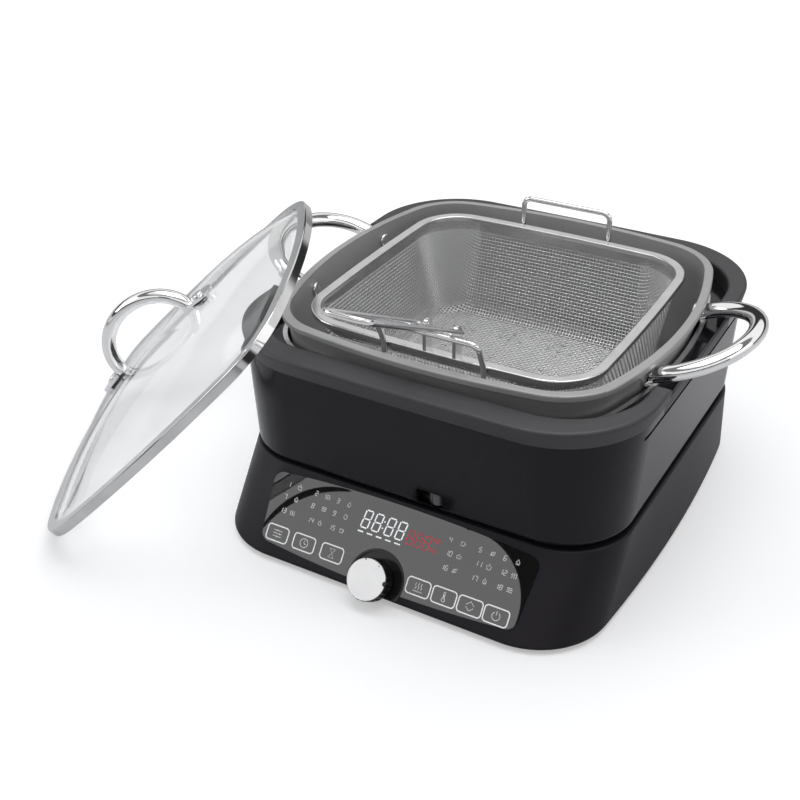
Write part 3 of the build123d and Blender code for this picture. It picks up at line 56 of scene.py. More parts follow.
sideways = level * cos(camera_roll) + steep * sin(camera_roll)
upward = steep * cos(camera_roll) - level * sin(camera_roll)
camera_data = bpy.data.cameras.new("camera")
camera_data.lens = camera_lens
camera_data.clip_start = camera_nearest
camera = bpy.data.objects.new("camera", camera_data)
bpy.context.scene.collection.objects.link(camera)
camera_turn = Matrix((sideways, upward, backward)).transposed().to_4x4()
camera.matrix_world = Matrix.Translation(camera_place) @ camera_turn
bpy.context.scene.camera = camera
bpy.context.scene.view_settings.view_transform = "Standard"

# Surround: a room that the camera and clear glass see as white, and that lights the parts more softly.
# Glossy surfaces mirror its bright panels, with dark gaps between them low down and high up.
room_light = 0.42
room_tint = (0.96, 0.98, 1.0, 1)


def seen_directly(tree):
    """One where the camera or clear glass looks at a surface, and nothing for all other light."""
    rays = tree.nodes.new("ShaderNodeLightPath")
    seen = tree.nodes.new("ShaderNodeMath")
    seen.operation = "MAXIMUM"
    tree.links.new(rays.outputs["Is Camera Ray"], seen.inputs[0])
    tree.links.new(rays.outputs["Is Transmission Ray"], seen.inputs[1])
    return seen.outputs[0]


world = bpy.data.worlds.new("white room")
bpy.context.scene.world = world
world.use_nodes = True
room = world.node_tree
room.nodes.clear()
room_rays = room.nodes.new("ShaderNodeLightPath")
room_direction = room.nodes.new("ShaderNodeTexCoord")
room_axes = room.nodes.new("ShaderNodeSeparateXYZ")
room.links.new(room_direction.outputs["Generated"], room_axes.inputs[0])
room_panels = room.nodes.new("ShaderNodeValToRGB")
room_bands = (
    (0.0, 0.7), (0.1, 0.6), (0.14, 0.04), (0.3, 0.04), (0.34, 1.0),
    (0.68, 1.0), (0.72, 0.2), (0.84, 0.2), (0.88, 1.0),
)
while len(room_panels.color_ramp.elements) < len(room_bands):
    room_panels.color_ramp.elements.new(1.0)
for element, (height, shade) in zip(room_panels.color_ramp.elements, room_bands):
    element.position = height
    element.color = (shade, shade, shade, 1)
room.links.new(room_axes.outputs["Z"], room_panels.inputs["Fac"])
room_lit = room.nodes.new("ShaderNodeBackground")
room_lit.inputs["Color"].default_value = room_tint
room_lit.inputs["Strength"].default_value = room_light
room_mirrored = room.nodes.new("ShaderNodeBackground")
room.links.new(room_panels.outputs["Color"], room_mirrored.inputs["Color"])
room_white = room.nodes.new("ShaderNodeBackground")
room_white.inputs["Color"].default_value = (1, 1, 1, 1)
room_gloss = room.nodes.new("ShaderNodeMixShader")
room.links.new(room_rays.outputs["Is Glossy Ray"], room_gloss.inputs["Fac"])
room.links.new(room_lit.outputs[0], room_gloss.inputs[1])
room.links.new(room_mirrored.outputs[0], room_gloss.inputs[2])
room_choice = room.nodes.new("ShaderNodeMixShader")
room.links.new(seen_directly(room), room_choice.inputs["Fac"])
room.links.new(room_gloss.outputs[0], room_choice.inputs[1])
room.links.new(room_white.outputs[0], room_choice.inputs[2])
room_output = room.nodes.new("ShaderNodeOutputWorld")
room.links.new(room_choice.outputs[0], room_output.inputs["Surface"])

# Soft boxes: one large above and in front, one at each side.
# Each is a square lamp turned towards the middle of the cooker.
lamp_aim = Vector((-0.02, 0, 0.1))
for lamp_name, lamp_place, lamp_size, lamp_power in (
    ("lamp above", (0.1, 0.2, 1.8), 1.6, 20.0),
    ("lamp right", (1.5, 0.25, 0.75), 1.1, 2.3),
    ("lamp left", (-1.4, -0.9, 0.9), 0.9, 4.5),
):
    lamp_data = bpy.data.lights.new(lamp_name, "AREA")
    lamp_data.shape = "SQUARE"
    lamp_data.size = lamp_size
    lamp_data.energy = lamp_power
    lamp = bpy.data.objects.new(lamp_name, lamp_data)
    bpy.context.scene.collection.objects.link(lamp)
    lamp.location = lamp_place
    lamp.rotation_euler = (lamp_aim - lamp.location).to_track_quat("-Z", "Y").to_euler()

# Table: a plain pale top that runs past the view on every side.
# The camera and glass see it lifted to white, and it keeps the cooker's soft shadow.
table_half = 12.0
table_lift = 0.36
table_far_lift = 0.85
table_near = 0.35
table_far = 1.5
table_shade = (0.72, 0.72, 0.73, 1)
table_mesh = bpy.data.meshes.new("table")
table_corners = [(x * table_half, y * table_half, 0) for x, y in ((-1, -1), (1, -1), (1, 1), (-1, 1))]
table_mesh.from_pydata(table_corners, [], [(0, 1, 2, 3)])
table_top = bpy.data.objects.new("table", table_mesh)
bpy.context.scene.collection.objects.link(table_top)
table_paint = bpy.data.materials.new("pale table")
table_paint.use_nodes = True
table_tree = table_paint.node_tree
table_tree.nodes.clear()
table_place = table_tree.nodes.new("ShaderNodeTexCoord")
table_distance = table_tree.nodes.new("ShaderNodeVectorMath")
table_distance.operation = "LENGTH"
table_tree.links.new(table_place.outputs["Object"], table_distance.inputs[0])
table_rise = table_tree.nodes.new("ShaderNodeMapRange")
table_rise.inputs["From Min"].default_value = table_near
table_rise.inputs["From Max"].default_value = table_far
table_rise.inputs["To Min"].default_value = table_lift
table_rise.inputs["To Max"].default_value = table_far_lift
table_tree.links.new(table_distance.outputs["Value"], table_rise.inputs["Value"])
table_level = table_tree.nodes.new("ShaderNodeMath")
table_level.operation = "MULTIPLY"
table_tree.links.new(table_rise.outputs["Result"], table_level.inputs[1])
table_tree.links.new(seen_directly(table_tree), table_level.inputs[0])
table_glow = table_tree.nodes.new("ShaderNodeEmission")
table_tree.links.new(table_level.outputs[0], table_glow.inputs["Strength"])
table_matte = table_tree.nodes.new("ShaderNodeBsdfDiffuse")
table_matte.inputs["Color"].default_value = table_shade
table_sum = table_tree.nodes.new("ShaderNodeAddShader")
table_tree.links.new(table_glow.outputs[0], table_sum.inputs[0])
table_tree.links.new(table_matte.outputs[0], table_sum.inputs[1])
table_output = table_tree.nodes.new("ShaderNodeOutputMaterial")
table_tree.links.new(table_sum.outputs[0], table_output.inputs["Surface"])
table_mesh.materials.append(table_paint)


# Heating base: a flared shell moulded in glossy black plastic, open below.
# Its flat cover, feet and screws close it from underneath, in satin plastic, rubber and zinc-plated steel.
def new_tree(name, kind, inputs, outputs):
    """A node tree with named sockets, and its entry and exit."""
    tree = bpy.data.node_groups.new(name, kind)
    for label, socket_kind, value in inputs:
        socket = tree.interface.new_socket(label, in_out="INPUT", socket_type="NodeSocket" + socket_kind)
        if value is not None:
            socket.default_value = value
    for label, socket_kind in outputs:
        tree.interface.new_socket(label, in_out="OUTPUT", socket_type="NodeSocket" + socket_kind)
    return tree, tree.nodes.new("NodeGroupInput"), tree.nodes.new("NodeGroupOutput")


patch_detail = 3
grain_detail = 2
noise_middle = 0.5


def skin_group():
    """How a made surface varies: a slow drift in shade and gloss, and a fine grain."""
    tree, entry, leave = new_tree(
        "made skin",
        "ShaderNodeTree",
        (
            ("Roughness", "Float", 0.4),
            ("Drift", "Float", 0.1),
            ("Patches", "Float", 30.0),
            ("Grain", "Float", 900.0),
            ("Stretch", "Vector", (1, 1, 1)),
        ),
        (("Shade", "Float"), ("Roughness", "Float"), ("Height", "Float")),
    )
    place = tree.nodes.new("ShaderNodeTexCoord")
    drawn = tree.nodes.new("ShaderNodeVectorMath")
    drawn.operation = "MULTIPLY"
    tree.links.new(place.outputs["Object"], drawn.inputs[0])
    tree.links.new(entry.outputs["Stretch"], drawn.inputs[1])
    patches = tree.nodes.new("ShaderNodeTexNoise")
    patches.inputs["Detail"].default_value = patch_detail
    tree.links.new(place.outputs["Object"], patches.inputs["Vector"])
    tree.links.new(entry.outputs["Patches"], patches.inputs["Scale"])
    grain = tree.nodes.new("ShaderNodeTexNoise")
    grain.inputs["Detail"].default_value = grain_detail
    tree.links.new(drawn.outputs[0], grain.inputs["Vector"])
    tree.links.new(entry.outputs["Grain"], grain.inputs["Scale"])
    centred = tree.nodes.new("ShaderNodeMath")
    centred.operation = "SUBTRACT"
    centred.inputs[1].default_value = noise_middle
    tree.links.new(patches.outputs["Fac"], centred.inputs[0])
    gloss = tree.nodes.new("ShaderNodeMath")
    gloss.operation = "MULTIPLY_ADD"
    tree.links.new(centred.outputs[0], gloss.inputs[0])
    tree.links.new(entry.outputs["Drift"], gloss.inputs[1])
    tree.links.new(entry.outputs["Roughness"], gloss.inputs[2])
    tree.links.new(patches.outputs["Fac"], leave.inputs["Shade"])
    tree.links.new(gloss.outputs[0], leave.inputs["Roughness"])
    tree.links.new(grain.outputs["Fac"], leave.inputs["Height"])
    return tree


made_skin = skin_group()
dark_until = 0.3
light_from = 0.7


def surface(name, dark, light, roughness, drift, patches, grain, depth, stretch=(1, 1, 1), **fixed):
    """A material between two shades whose gloss drifts and whose surface has a grain of a given depth."""
    material = bpy.data.materials.new(name)
    material.use_nodes = True
    tree = material.node_tree
    shader = tree.nodes["Principled BSDF"]
    skin = tree.nodes.new("ShaderNodeGroup")
    skin.node_tree = made_skin
    skin.inputs["Roughness"].default_value = roughness
    skin.inputs["Drift"].default_value = drift
    skin.inputs["Patches"].default_value = patches
    skin.inputs["Grain"].default_value = grain
    skin.inputs["Stretch"].default_value = stretch
    shades = tree.nodes.new("ShaderNodeValToRGB")
    shades.color_ramp.elements[0].position = dark_until
    shades.color_ramp.elements[0].color = (*dark, 1)
    shades.color_ramp.elements[1].position = light_from
    shades.color_ramp.elements[1].color = (*light, 1)
    bump = tree.nodes.new("ShaderNodeBump")
    bump.inputs["Distance"].default_value = depth
    tree.links.new(skin.outputs["Shade"], shades.inputs["Fac"])
    tree.links.new(skin.outputs["Height"], bump.inputs["Height"])
    tree.links.new(shades.outputs["Color"], shader.inputs["Base Color"])
    tree.links.new(skin.outputs["Roughness"], shader.inputs["Roughness"])
    tree.links.new(bump.outputs["Normal"], shader.inputs["Normal"])
    for label, value in fixed.items():
        shader.inputs[label.replace("_", " ").title().replace("Ior", "IOR")].default_value = value
    return material


def dress(material, *names):
    """Gives solids of the frame their finish."""
    for name in names:
        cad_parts[name].data.materials.clear()
        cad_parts[name].data.materials.append(material)


base_black = surface(
    "base gloss black", (0.0138, 0.0126, 0.0152), (0.0168, 0.0154, 0.0184),
    roughness=0.34, drift=0.06, patches=14, grain=700, depth=0.000006,
    specular_ior_level=0.16, specular_tint=(0.96, 0.9, 1.0, 1),
)
dress(base_black, "base_shell")
satin_black = surface(
    "satin black plastic", (0.008, 0.008, 0.009), (0.013, 0.013, 0.014),
    roughness=0.42, drift=0.1, patches=40, grain=1300, depth=0.00002,
)
dress(satin_black, "bottom_cover")
foot_rubber = surface(
    "foot rubber", (0.018, 0.018, 0.018), (0.03, 0.03, 0.03),
    roughness=0.82, drift=0.1, patches=60, grain=1800, depth=0.00006,
)
dress(foot_rubber, "rubber_feet")
zinc_plate = surface(
    "zinc plate", (0.46, 0.47, 0.5), (0.6, 0.6, 0.6),
    roughness=0.34, drift=0.2, patches=160, grain=1400, depth=0.00001, metallic=1.0,
)
dress(zinc_plate, "cover_screws")

# Mould seam: a short, dark, upright line at the foot of the base's right side.
# It is a thin strip set into the sloping wall, in near-black painted shade that stands for the shade in the
# seam.
mm = 0.001
seam_y = -26.0
seam_half_width = 0.32
seam_depth = 0.3
seam_proud = 0.05
seam_wall = ((151.72, 5.0), (150.2, 17.0))
seam_corners = [
    ((wall_x + out) * mm, (seam_y + side * seam_half_width) * mm, height * mm)
    for wall_x, height in seam_wall
    for out, side in ((-seam_depth, -1), (seam_proud, -1), (seam_proud, 1), (-seam_depth, 1))
]
seam_sides = [(i, (i + 1) % 4, (i + 1) % 4 + 4, i + 4) for i in range(4)]
seam_mesh = bpy.data.meshes.new("base_seam")
seam_mesh.from_pydata(seam_corners, [], seam_sides + [(3, 2, 1, 0), (4, 5, 6, 7)])
seam_shadow = surface(
    "seam shadow", (0.001, 0.001, 0.001), (0.002, 0.002, 0.002),
    roughness=0.9, drift=0.05, patches=50, grain=900, depth=0.00001,
)
seam_mesh.materials.append(seam_shadow)


def add_piece(name, mesh, body, slot, *stands_for):
    """Puts a finished mesh into the scene on its body."""
    piece = bpy.data.objects.new(name, mesh)
    bpy.context.scene.collection.objects.link(piece)
    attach(piece, body)
    if stands_for:
        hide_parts(*stands_for)


add_piece("base_seam", seam_mesh, "base", "base_gloss")

# Heating plate: cast aluminium with a machined top, over a tube element in a bright pressed tray.
# Four posts carry it, and a sprung sensor cap comes up through its middle.
plate_cast = surface(
    "cast aluminium", (0.42, 0.42, 0.43), (0.56, 0.56, 0.57),
    roughness=0.4, drift=0.16, patches=50, grain=1600, depth=0.00005, metallic=1.0,
)
dress(plate_cast, "heating_plate", "temperature_sensor")
element_steel = surface(
    "heat-coloured steel", (0.16, 0.13, 0.11), (0.34, 0.33, 0.33),
    roughness=0.38, drift=0.2, patches=70, grain=900, depth=0.00003, metallic=1.0,
)
dress(element_steel, "heating_element")
tray_steel = surface(
    "tray steel", (0.5, 0.5, 0.51), (0.62, 0.62, 0.62),
    roughness=0.28, drift=0.14, patches=26, grain=1100, depth=0.00001, stretch=(1, 0.05, 1),
    metallic=1.0,
)
dress(tray_steel, "reflector_tray", "plate_posts", "sensor_spring")

# Electronics: a control board behind the slope and a power board on the cover.
# Each is green laminate with black plastic and tinned parts on it.
board_laminate = surface(
    "board laminate", (0.008, 0.05, 0.022), (0.016, 0.085, 0.035),
    roughness=0.34, drift=0.12, patches=260, grain=2600, depth=0.00002,
)
dress(board_laminate, "control_board", "power_board")
dress(satin_black, "display_module", "power_relay", "power_coil")
dress(foot_rubber, "touch_springs")
dress(zinc_plate, "board_screws", "dial_encoder", "power_capacitor")

# Mains inlet: a flanged socket of satin black plastic in the back of the base.
# Three plated brass blades stand on its floor.
inlet_brass = surface(
    "inlet brass", (0.52, 0.36, 0.13), (0.66, 0.48, 0.2),
    roughness=0.26, drift=0.12, patches=300, grain=1500, depth=0.00001, metallic=1.0,
)
dress(inlet_brass, "inlet_pins")
dress(satin_black, "mains_inlet")

# Control panel: one plate of clear-coated black plastic on the front slope, and the dish round the dial.
# Key frames, figures and signs are printed on it, the key frames with a painted glow, and the display
# shines through.
panel_gloss = surface(
    "panel gloss", (0.0085, 0.0085, 0.009), (0.0115, 0.0115, 0.012),
    roughness=0.02, drift=0.01, patches=20, grain=500, depth=0.0000002,
    specular_ior_level=0.85, coat_weight=1.0, coat_roughness=0.005, coat_ior=1.64,
)
dress(panel_gloss, "control_panel")
dish_gloss = surface(
    "dish gloss", (0.006, 0.006, 0.0065), (0.009, 0.009, 0.0095),
    roughness=0.16, drift=0.05, patches=60, grain=700, depth=0.000003, specular_ior_level=0.45,
)
dress(dish_gloss, "dial_ring")
slope_rise = 54.0
slope_run = 42.6
slope_foot_y = -184.2
slope_foot_z = 3.0
panel_middle_z = 32.0
slope_angle = atan2(slope_rise, slope_run)
panel_middle_y = slope_foot_y + (panel_middle_z - slope_foot_z) / tan(slope_angle)
panel_matrix = Matrix.Translation(Vector((0, panel_middle_y, panel_middle_z)) * mm) @ Matrix(
    (
        (1, 0, 0, 0),
        (0, cos(slope_angle), -sin(slope_angle), 0),
        (0, sin(slope_angle), cos(slope_angle), 0),
        (0, 0, 0, 1),
    )
)
panel_face = 0.2
print_thickness = 0.06
figure_segments = {
    "0": "abcdef", "1": "bc", "2": "abged", "3": "abgcd", "4": "fgbc",
    "5": "afgcd", "6": "afgcde", "7": "abc", "8": "abcdefg", "9": "abfgcd",
}


def pass_on(tree, *steps):
    """Passes the geometry from each step of a tree to the next."""
    for before, after in zip(steps, steps[1:]):
        tree.links.new(before.outputs[0], after.inputs[0])


def line_tree():
    """Turns drawn lines in the XY plane into flat closed strips."""
    tree, entry, leave = new_tree(
        "printed line",
        "GeometryNodeTree",
        (("Geometry", "Geometry", None), ("Width", "Float", 0.0005), ("Thickness", "Float", 0.0001),
         ("Ink", "Material", None)),
        (("Geometry", "Geometry"),),
    )
    lines = tree.nodes.new("GeometryNodeMeshToCurve")
    turned = tree.nodes.new("GeometryNodeSetCurveNormal")
    turned.mode = "Z_UP"
    nib = tree.nodes.new("GeometryNodeCurvePrimitiveQuadrilateral")
    strip = tree.nodes.new("GeometryNodeCurveToMesh")
    strip.inputs["Fill Caps"].default_value = True
    real = tree.nodes.new("GeometryNodeRealizeInstances")
    inked = tree.nodes.new("GeometryNodeSetMaterial")
    pass_on(tree, entry, lines, turned, strip, real, inked, leave)
    tree.links.new(entry.outputs["Width"], nib.inputs["Width"])
    tree.links.new(entry.outputs["Thickness"], nib.inputs["Height"])
    tree.links.new(nib.outputs["Curve"], strip.inputs["Profile Curve"])
    tree.links.new(entry.outputs["Ink"], inked.inputs["Material"])
    return tree


def grown_mesh(name, guide, tree, **sizes):
    """Runs a geometry tree on a guide mesh and returns the plain mesh it makes."""
    holder = bpy.data.objects.new(name, guide)
    bpy.context.scene.collection.objects.link(holder)
    modifier = holder.modifiers.new(name, "NODES")
    modifier.node_group = tree
    for label, value in sizes.items():
        modifier[tree.interface.items_tree[label.replace("_", " ").title()].identifier] = value
    holder.update_tag()
    mesh = bpy.data.meshes.new_from_object(holder.evaluated_get(bpy.context.evaluated_depsgraph_get()))
    bpy.data.objects.remove(holder)
    mesh.name = name
    return mesh


closing_gap = 0.001


def line_guide(name, strokes):
    """Edges alone, in metres, from strokes in millimetres. A closed stroke ends where it starts."""
    corners = []
    edges = []
    for stroke in strokes:
        (start_x, start_y), (end_x, end_y) = stroke[0], stroke[-1]
        closed = len(stroke) > 2 and hypot(start_x - end_x, start_y - end_y) < closing_gap
        points = stroke[:-1] if closed else stroke
        first = len(corners)
        corners += [(x * mm, y * mm, 0) for x, y in points]
        edges += [(first + i, first + i + 1) for i in range(len(points) - 1)]
        if closed:
            edges.append((first + len(points) - 1, first))
    mesh = bpy.data.meshes.new(name)
    mesh.from_pydata(corners, edges, [])
    return mesh


def ring_stroke(x, y, radius, first=0, last=360, count=16):
    """A circle, or a part of one."""
    angles = [radians(first + (last - first) * i / count) for i in range(count + 1)]
    return [(x + radius * cos(angle), y + radius * sin(angle)) for angle in angles]


def frame_stroke(x, y, width, height, corner, corner_steps=5):
    """A rounded key frame."""
    stroke = []
    for side, end, start in ((1, 1, 0), (-1, 1, 90), (-1, -1, 180), (1, -1, 270)):
        corner_x = x + side * (width / 2 - corner)
        corner_y = y + end * (height / 2 - corner)
        stroke += ring_stroke(corner_x, corner_y, corner, start, start + 90, corner_steps)
    return stroke + stroke[:1]


def figure_strokes(figure, x, y, width, height, lean, gap):
    """The lit bars of one seven-segment figure, from its lower left corner."""
    ends = {
        "a": ((0, 2), (1, 2)), "b": ((1, 2), (1, 1)), "c": ((1, 1), (1, 0)), "d": ((0, 0), (1, 0)),
        "e": ((0, 1), (0, 0)), "f": ((0, 2), (0, 1)), "g": ((0, 1), (1, 1)),
    }
    strokes = []
    for bar in figure_segments[figure]:
        (x0, y0), (x1, y1) = ends[bar]
        x0, x1, y0, y1 = x0 * width, x1 * width, y0 * height / 2, y1 * height / 2
        length = hypot(x1 - x0, y1 - y0)
        run_x, run_y = (x1 - x0) / length * gap, (y1 - y0) / length * gap
        bar_points = ((x0 + run_x, y0 + run_y), (x1 - run_x, y1 - run_y))
        strokes.append([(x + px + py * lean, y + py) for px, py in bar_points])
    return strokes


def sign_strokes(sign, x, y, size):
    """A plain cooking sign, drawn in a square of twice the given half size."""
    drawings = {
        "pot": [
            [(-0.8, 0.3), (-0.6, -0.8), (0.6, -0.8), (0.8, 0.3), (-0.8, 0.3)],
            [(-1, 0.3), (1, 0.3)], [(-0.3, 0.8), (0.3, 0.8)],
        ],
        "steam": [[(i, -0.8), (i + 0.25, -0.3), (i - 0.1, 0.2), (i + 0.15, 0.8)] for i in (-0.7, 0, 0.7)],
        "egg": [[(0.6 * cos(radians(30 * i)), 0.8 * sin(radians(30 * i))) for i in range(12)] + [(0.6, 0)]],
        "bowl": [
            [(-0.9, 0.2), (-0.5, -0.6), (0.5, -0.6), (0.9, 0.2), (-0.9, 0.2)],
            [(-0.3, 0.7), (0, 0.45), (0.3, 0.7)],
        ],
        "flame": [
            [(0, 0.9), (0.6, 0), (0.45, -0.7), (-0.45, -0.7), (-0.6, 0), (0, 0.9)],
            [(0, -0.1), (0, -0.6)],
        ],
        "drop": [[(0, 0.9), (0.55, -0.1), (0.35, -0.75), (-0.35, -0.75), (-0.55, -0.1), (0, 0.9)]],
        "cup": [
            [(-0.6, 0.5), (-0.5, -0.7), (0.5, -0.7), (0.6, 0.5), (-0.6, 0.5)],
            [(0.6, 0.2), (0.95, 0.1), (0.9, -0.3), (0.5, -0.4)],
        ],
        "waves": [
            [(-0.9, i), (-0.45, i + 0.25), (0, i), (0.45, i + 0.25), (0.9, i)] for i in (-0.6, 0, 0.5)
        ],
        "leaf": [
            [(-0.8, -0.7), (-0.5, 0.4), (0.7, 0.8), (0.4, -0.4), (-0.8, -0.7)],
            [(-0.8, -0.7), (0.2, 0.3)],
        ],
        "sliders": [
            [(-1, 0.6), (1, 0.6)], [(-1, 0), (1, 0)], [(-1, -0.6), (1, -0.6)],
            [(-0.4, 0.8), (-0.4, 0.4)], [(0.5, 0.2), (0.5, -0.2)], [(-0.1, -0.4), (-0.1, -0.8)],
        ],
        "clock": [ring_stroke(0, 0, 0.9), [(0, 0.6), (0, 0), (0.45, -0.2)]],
        "hourglass": [[(-0.6, 0.9), (0.6, 0.9), (-0.6, -0.9), (0.6, -0.9), (-0.6, 0.9)]],
        "thermometer": [
            ring_stroke(0, -0.6, 0.35),
            [(-0.15, -0.3), (-0.15, 0.9), (0.15, 0.9), (0.15, -0.3)], [(0, 0.4), (0, -0.5)],
        ],
        "arrows": [[(-0.8, 0.2), (0, 0.9), (0.8, 0.2)], [(-0.8, -0.2), (0, -0.9), (0.8, -0.2)]],
        "power": [ring_stroke(0, -0.05, 0.8, 120, 420), [(0, 0.95), (0, 0.15)]],
        "warm": [[(-1, -0.8), (1, -0.8)]] + [
            [(i, -0.4), (i + 0.2, 0), (i - 0.1, 0.4), (i + 0.1, 0.85)] for i in (-0.6, 0, 0.6)
        ],
    }
    return [[(x + px * size, y + py * size) for px, py in stroke] for stroke in drawings[sign]]


def glowing_ink(name, dark, light, glow):
    """Ink that glows: the display's lit segments behind the panel, and printed key frames given a painted
    glow.
    """
    ink = surface(
        name, dark, light,
        roughness=0.4, drift=0.1, patches=500, grain=2000, depth=0.000003,
    )
    shader = ink.node_tree.nodes["Principled BSDF"]
    shade = shader.inputs["Base Color"].links[0].from_socket
    ink.node_tree.links.new(shade, shader.inputs["Emission Color"])
    shader.inputs["Emission Strength"].default_value = glow
    return ink


key_width = 17.5
key_height = 11.0
key_corner = 2.4
key_sign_size = 3.5
keys = (
    (-87.5, -17.8, "sliders"), (-65.0, -17.8, "clock"), (-41.8, -17.8, "hourglass"),
    (27.5, -19.3, "warm"), (47.0, -19.3, "thermometer"), (66.3, -19.3, "arrows"), (85.3, -19.3, "power"),
)
key_frames = [frame_stroke(x, y, key_width, key_height, key_corner) for x, y, sign in keys]
key_signs = [stroke for x, y, sign in keys for stroke in sign_strokes(sign, x, y, key_sign_size)]
programme_columns = (-85.3, -62.0, -44.1, 44.7, 66.8, 84.8)
programme_rows = (18.0, 9.0, -0.8)
programme_signs = ("pot", "flame", "steam", "waves", "drop", "egg", "cup", "bowl", "leaf")
number_left = 6.0
number_step = 2.9
number_width = 1.8
number_height = 3.2
number_lean = 0.1
number_gap = 0.1
programme_sign_right = 4.2
programme_sign_size = 2.1
for column, x in enumerate(programme_columns):
    for row, y in enumerate(programme_rows):
        number = str(1 + column + len(programme_columns) * row)
        for place, figure in enumerate(number):
            key_signs += figure_strokes(
                figure, x - number_left + number_step * place, y - number_height / 2,
                number_width, number_height, number_lean, number_gap,
            )
        sign = programme_signs[(2 * column + row) % len(programme_signs)]
        key_signs += sign_strokes(sign, x + programme_sign_right, y, programme_sign_size)
ink_white = surface(
    "white ink", (0.78, 0.78, 0.78), (0.88, 0.88, 0.88),
    roughness=0.55, drift=0.1, patches=400, grain=3000, depth=0.000004,
)
printed_line = line_tree()
# The key frames are printed ink with a painted glow, so that they look as bright as the lit figures.
key_frame_painted_glow = 0.3
key_ink_painted_glow = glowing_ink("key ink with painted glow", (0.74, 0.75, 0.76), (0.84, 0.85, 0.86), key_frame_painted_glow)
for print_name, print_strokes, print_width, print_ink in (
    ("key_frames", key_frames, 0.88, key_ink_painted_glow),
    ("panel_signs", key_signs, 0.54, ink_white),
):
    print_mesh = grown_mesh(
        print_name, line_guide(print_name, print_strokes), printed_line,
        width=print_width * mm, thickness=print_thickness * mm, ink=print_ink,
    )
    print_mesh.transform(panel_matrix @ Matrix.Translation((0, 0, panel_face * mm)))
    add_piece(print_name, print_mesh, "base", "panel_gloss")

# Black cards: two curved strips in front of the cooker that only glossy surfaces see.
# The panel mirrors them as a thin dark bow on its left and a dark corner on its right.
card_reach = 1.6
panel_out = panel_matrix.to_3x3() @ Vector((0, 0, 1))
behind_panel = camera_place - panel_out * (2 * panel_out.dot(camera_place - panel_matrix.translation))
card_black = surface(
    "card black", (0.002, 0.002, 0.002), (0.004, 0.004, 0.004),
    roughness=0.9, drift=0.1, patches=5, grain=100, depth=0.0001,
)
card_steps = 24
for card_name, card_x, card_y, card_low, card_high, card_first, card_last, card_pointed in (
    ("left card", -36.0, -42.0, 67.0, 71.8, 162, 94, True),
    ("right card", 56.0, -15.2, 43.4, 84.0, 100, -22, False),
):
    card_corners = []
    card_middle = (card_low + card_high) / 2
    for i in range(card_steps + 1):
        card_angle = radians(card_first + (card_last - card_first) * i / card_steps)
        card_half = (card_high - card_low) / 2 * (sin(pi * i / card_steps) ** 0.5 if card_pointed else 1)
        for card_radius in (card_middle - card_half, card_middle + card_half):
            seen_x = card_x + card_radius * cos(card_angle)
            seen_y = card_y + card_radius * sin(card_angle)
            seen_at = panel_matrix @ (Vector((seen_x, seen_y, panel_face)) * mm)
            card_corners.append(behind_panel + (seen_at - behind_panel) * card_reach)
    card_mesh = bpy.data.meshes.new(card_name)
    card_faces = [(2 * i, 2 * i + 1, 2 * i + 3, 2 * i + 2) for i in range(card_steps)]
    card_mesh.from_pydata(card_corners, [], card_faces)
    card_mesh.materials.append(card_black)
    card = bpy.data.objects.new(card_name, card_mesh)
    bpy.context.scene.collection.objects.link(card)
    card.visible_camera = False
    card.visible_diffuse = False
    card.visible_transmission = False
    card.visible_shadow = False

# Display: white time figures over five short bars, and smaller red temperature figures beside them.
# They are lit segments behind the panel, drawn here as thin bars in its face.
figure_lean = 0.13
time_y = 6.4
time_width = 5.4
time_height = 12.2
time_gap = 0.45
time_strokes = []
for x in (-27.0, -18.4, -8.6, 0.0):
    time_strokes += figure_strokes("8", x, time_y, time_width, time_height, figure_lean, time_gap)
time_strokes += [[(-10.6, 9.6), (-10.5, 10.6)], [(-10.1, 14.2), (-10.0, 15.2)]]
bar_count = 5
bar_left = -28.0
bar_right = -23.6
bar_step = 7.3
bar_y = 3.4
time_strokes += [
    [(bar_left + bar_step * i, bar_y), (bar_right + bar_step * i, bar_y)] for i in range(bar_count)
]
heat_y = 5.6
heat_width = 4.2
heat_height = 9.4
heat_gap = 0.35
degree_radius = 0.8
heat_strokes = []
for x in (8.6, 15.0, 21.4):
    heat_strokes += figure_strokes("8", x, heat_y, heat_width, heat_height, figure_lean, heat_gap)
heat_strokes += [ring_stroke(x, y, degree_radius, count=10) for x, y in ((29.0, 14.2), (28.2, 7.2))]
heat_strokes += [[(31.0, 14.8), (33.2, 14.8)], [(31.0, 14.8), (30.7, 11.4)], [(31.0, 13.2), (32.6, 13.2)]]
heat_strokes += [ring_stroke(31.4, 6.6, 1.3, 60, 300, 8)]
figure_glow = 0.55
for light_name, light_strokes, light_width, light_dark, light_bright in (
    ("time_figures", time_strokes, 0.95, (0.7, 0.72, 0.74), (0.86, 0.88, 0.9)),
    ("heat_figures", heat_strokes, 0.7, (0.34, 0.018, 0.028), (0.48, 0.03, 0.045)),
):
    lit_segment = glowing_ink(light_name.replace("_", " "), light_dark, light_bright, figure_glow)
    light_mesh = grown_mesh(
        light_name, line_guide(light_name, light_strokes), printed_line,
        width=light_width * mm, thickness=print_thickness * mm, ink=lit_segment,
    )
    light_mesh.transform(panel_matrix @ Matrix.Translation((0, 0, panel_face * mm)))
    add_piece(light_name, light_mesh, "base", "panel_gloss")

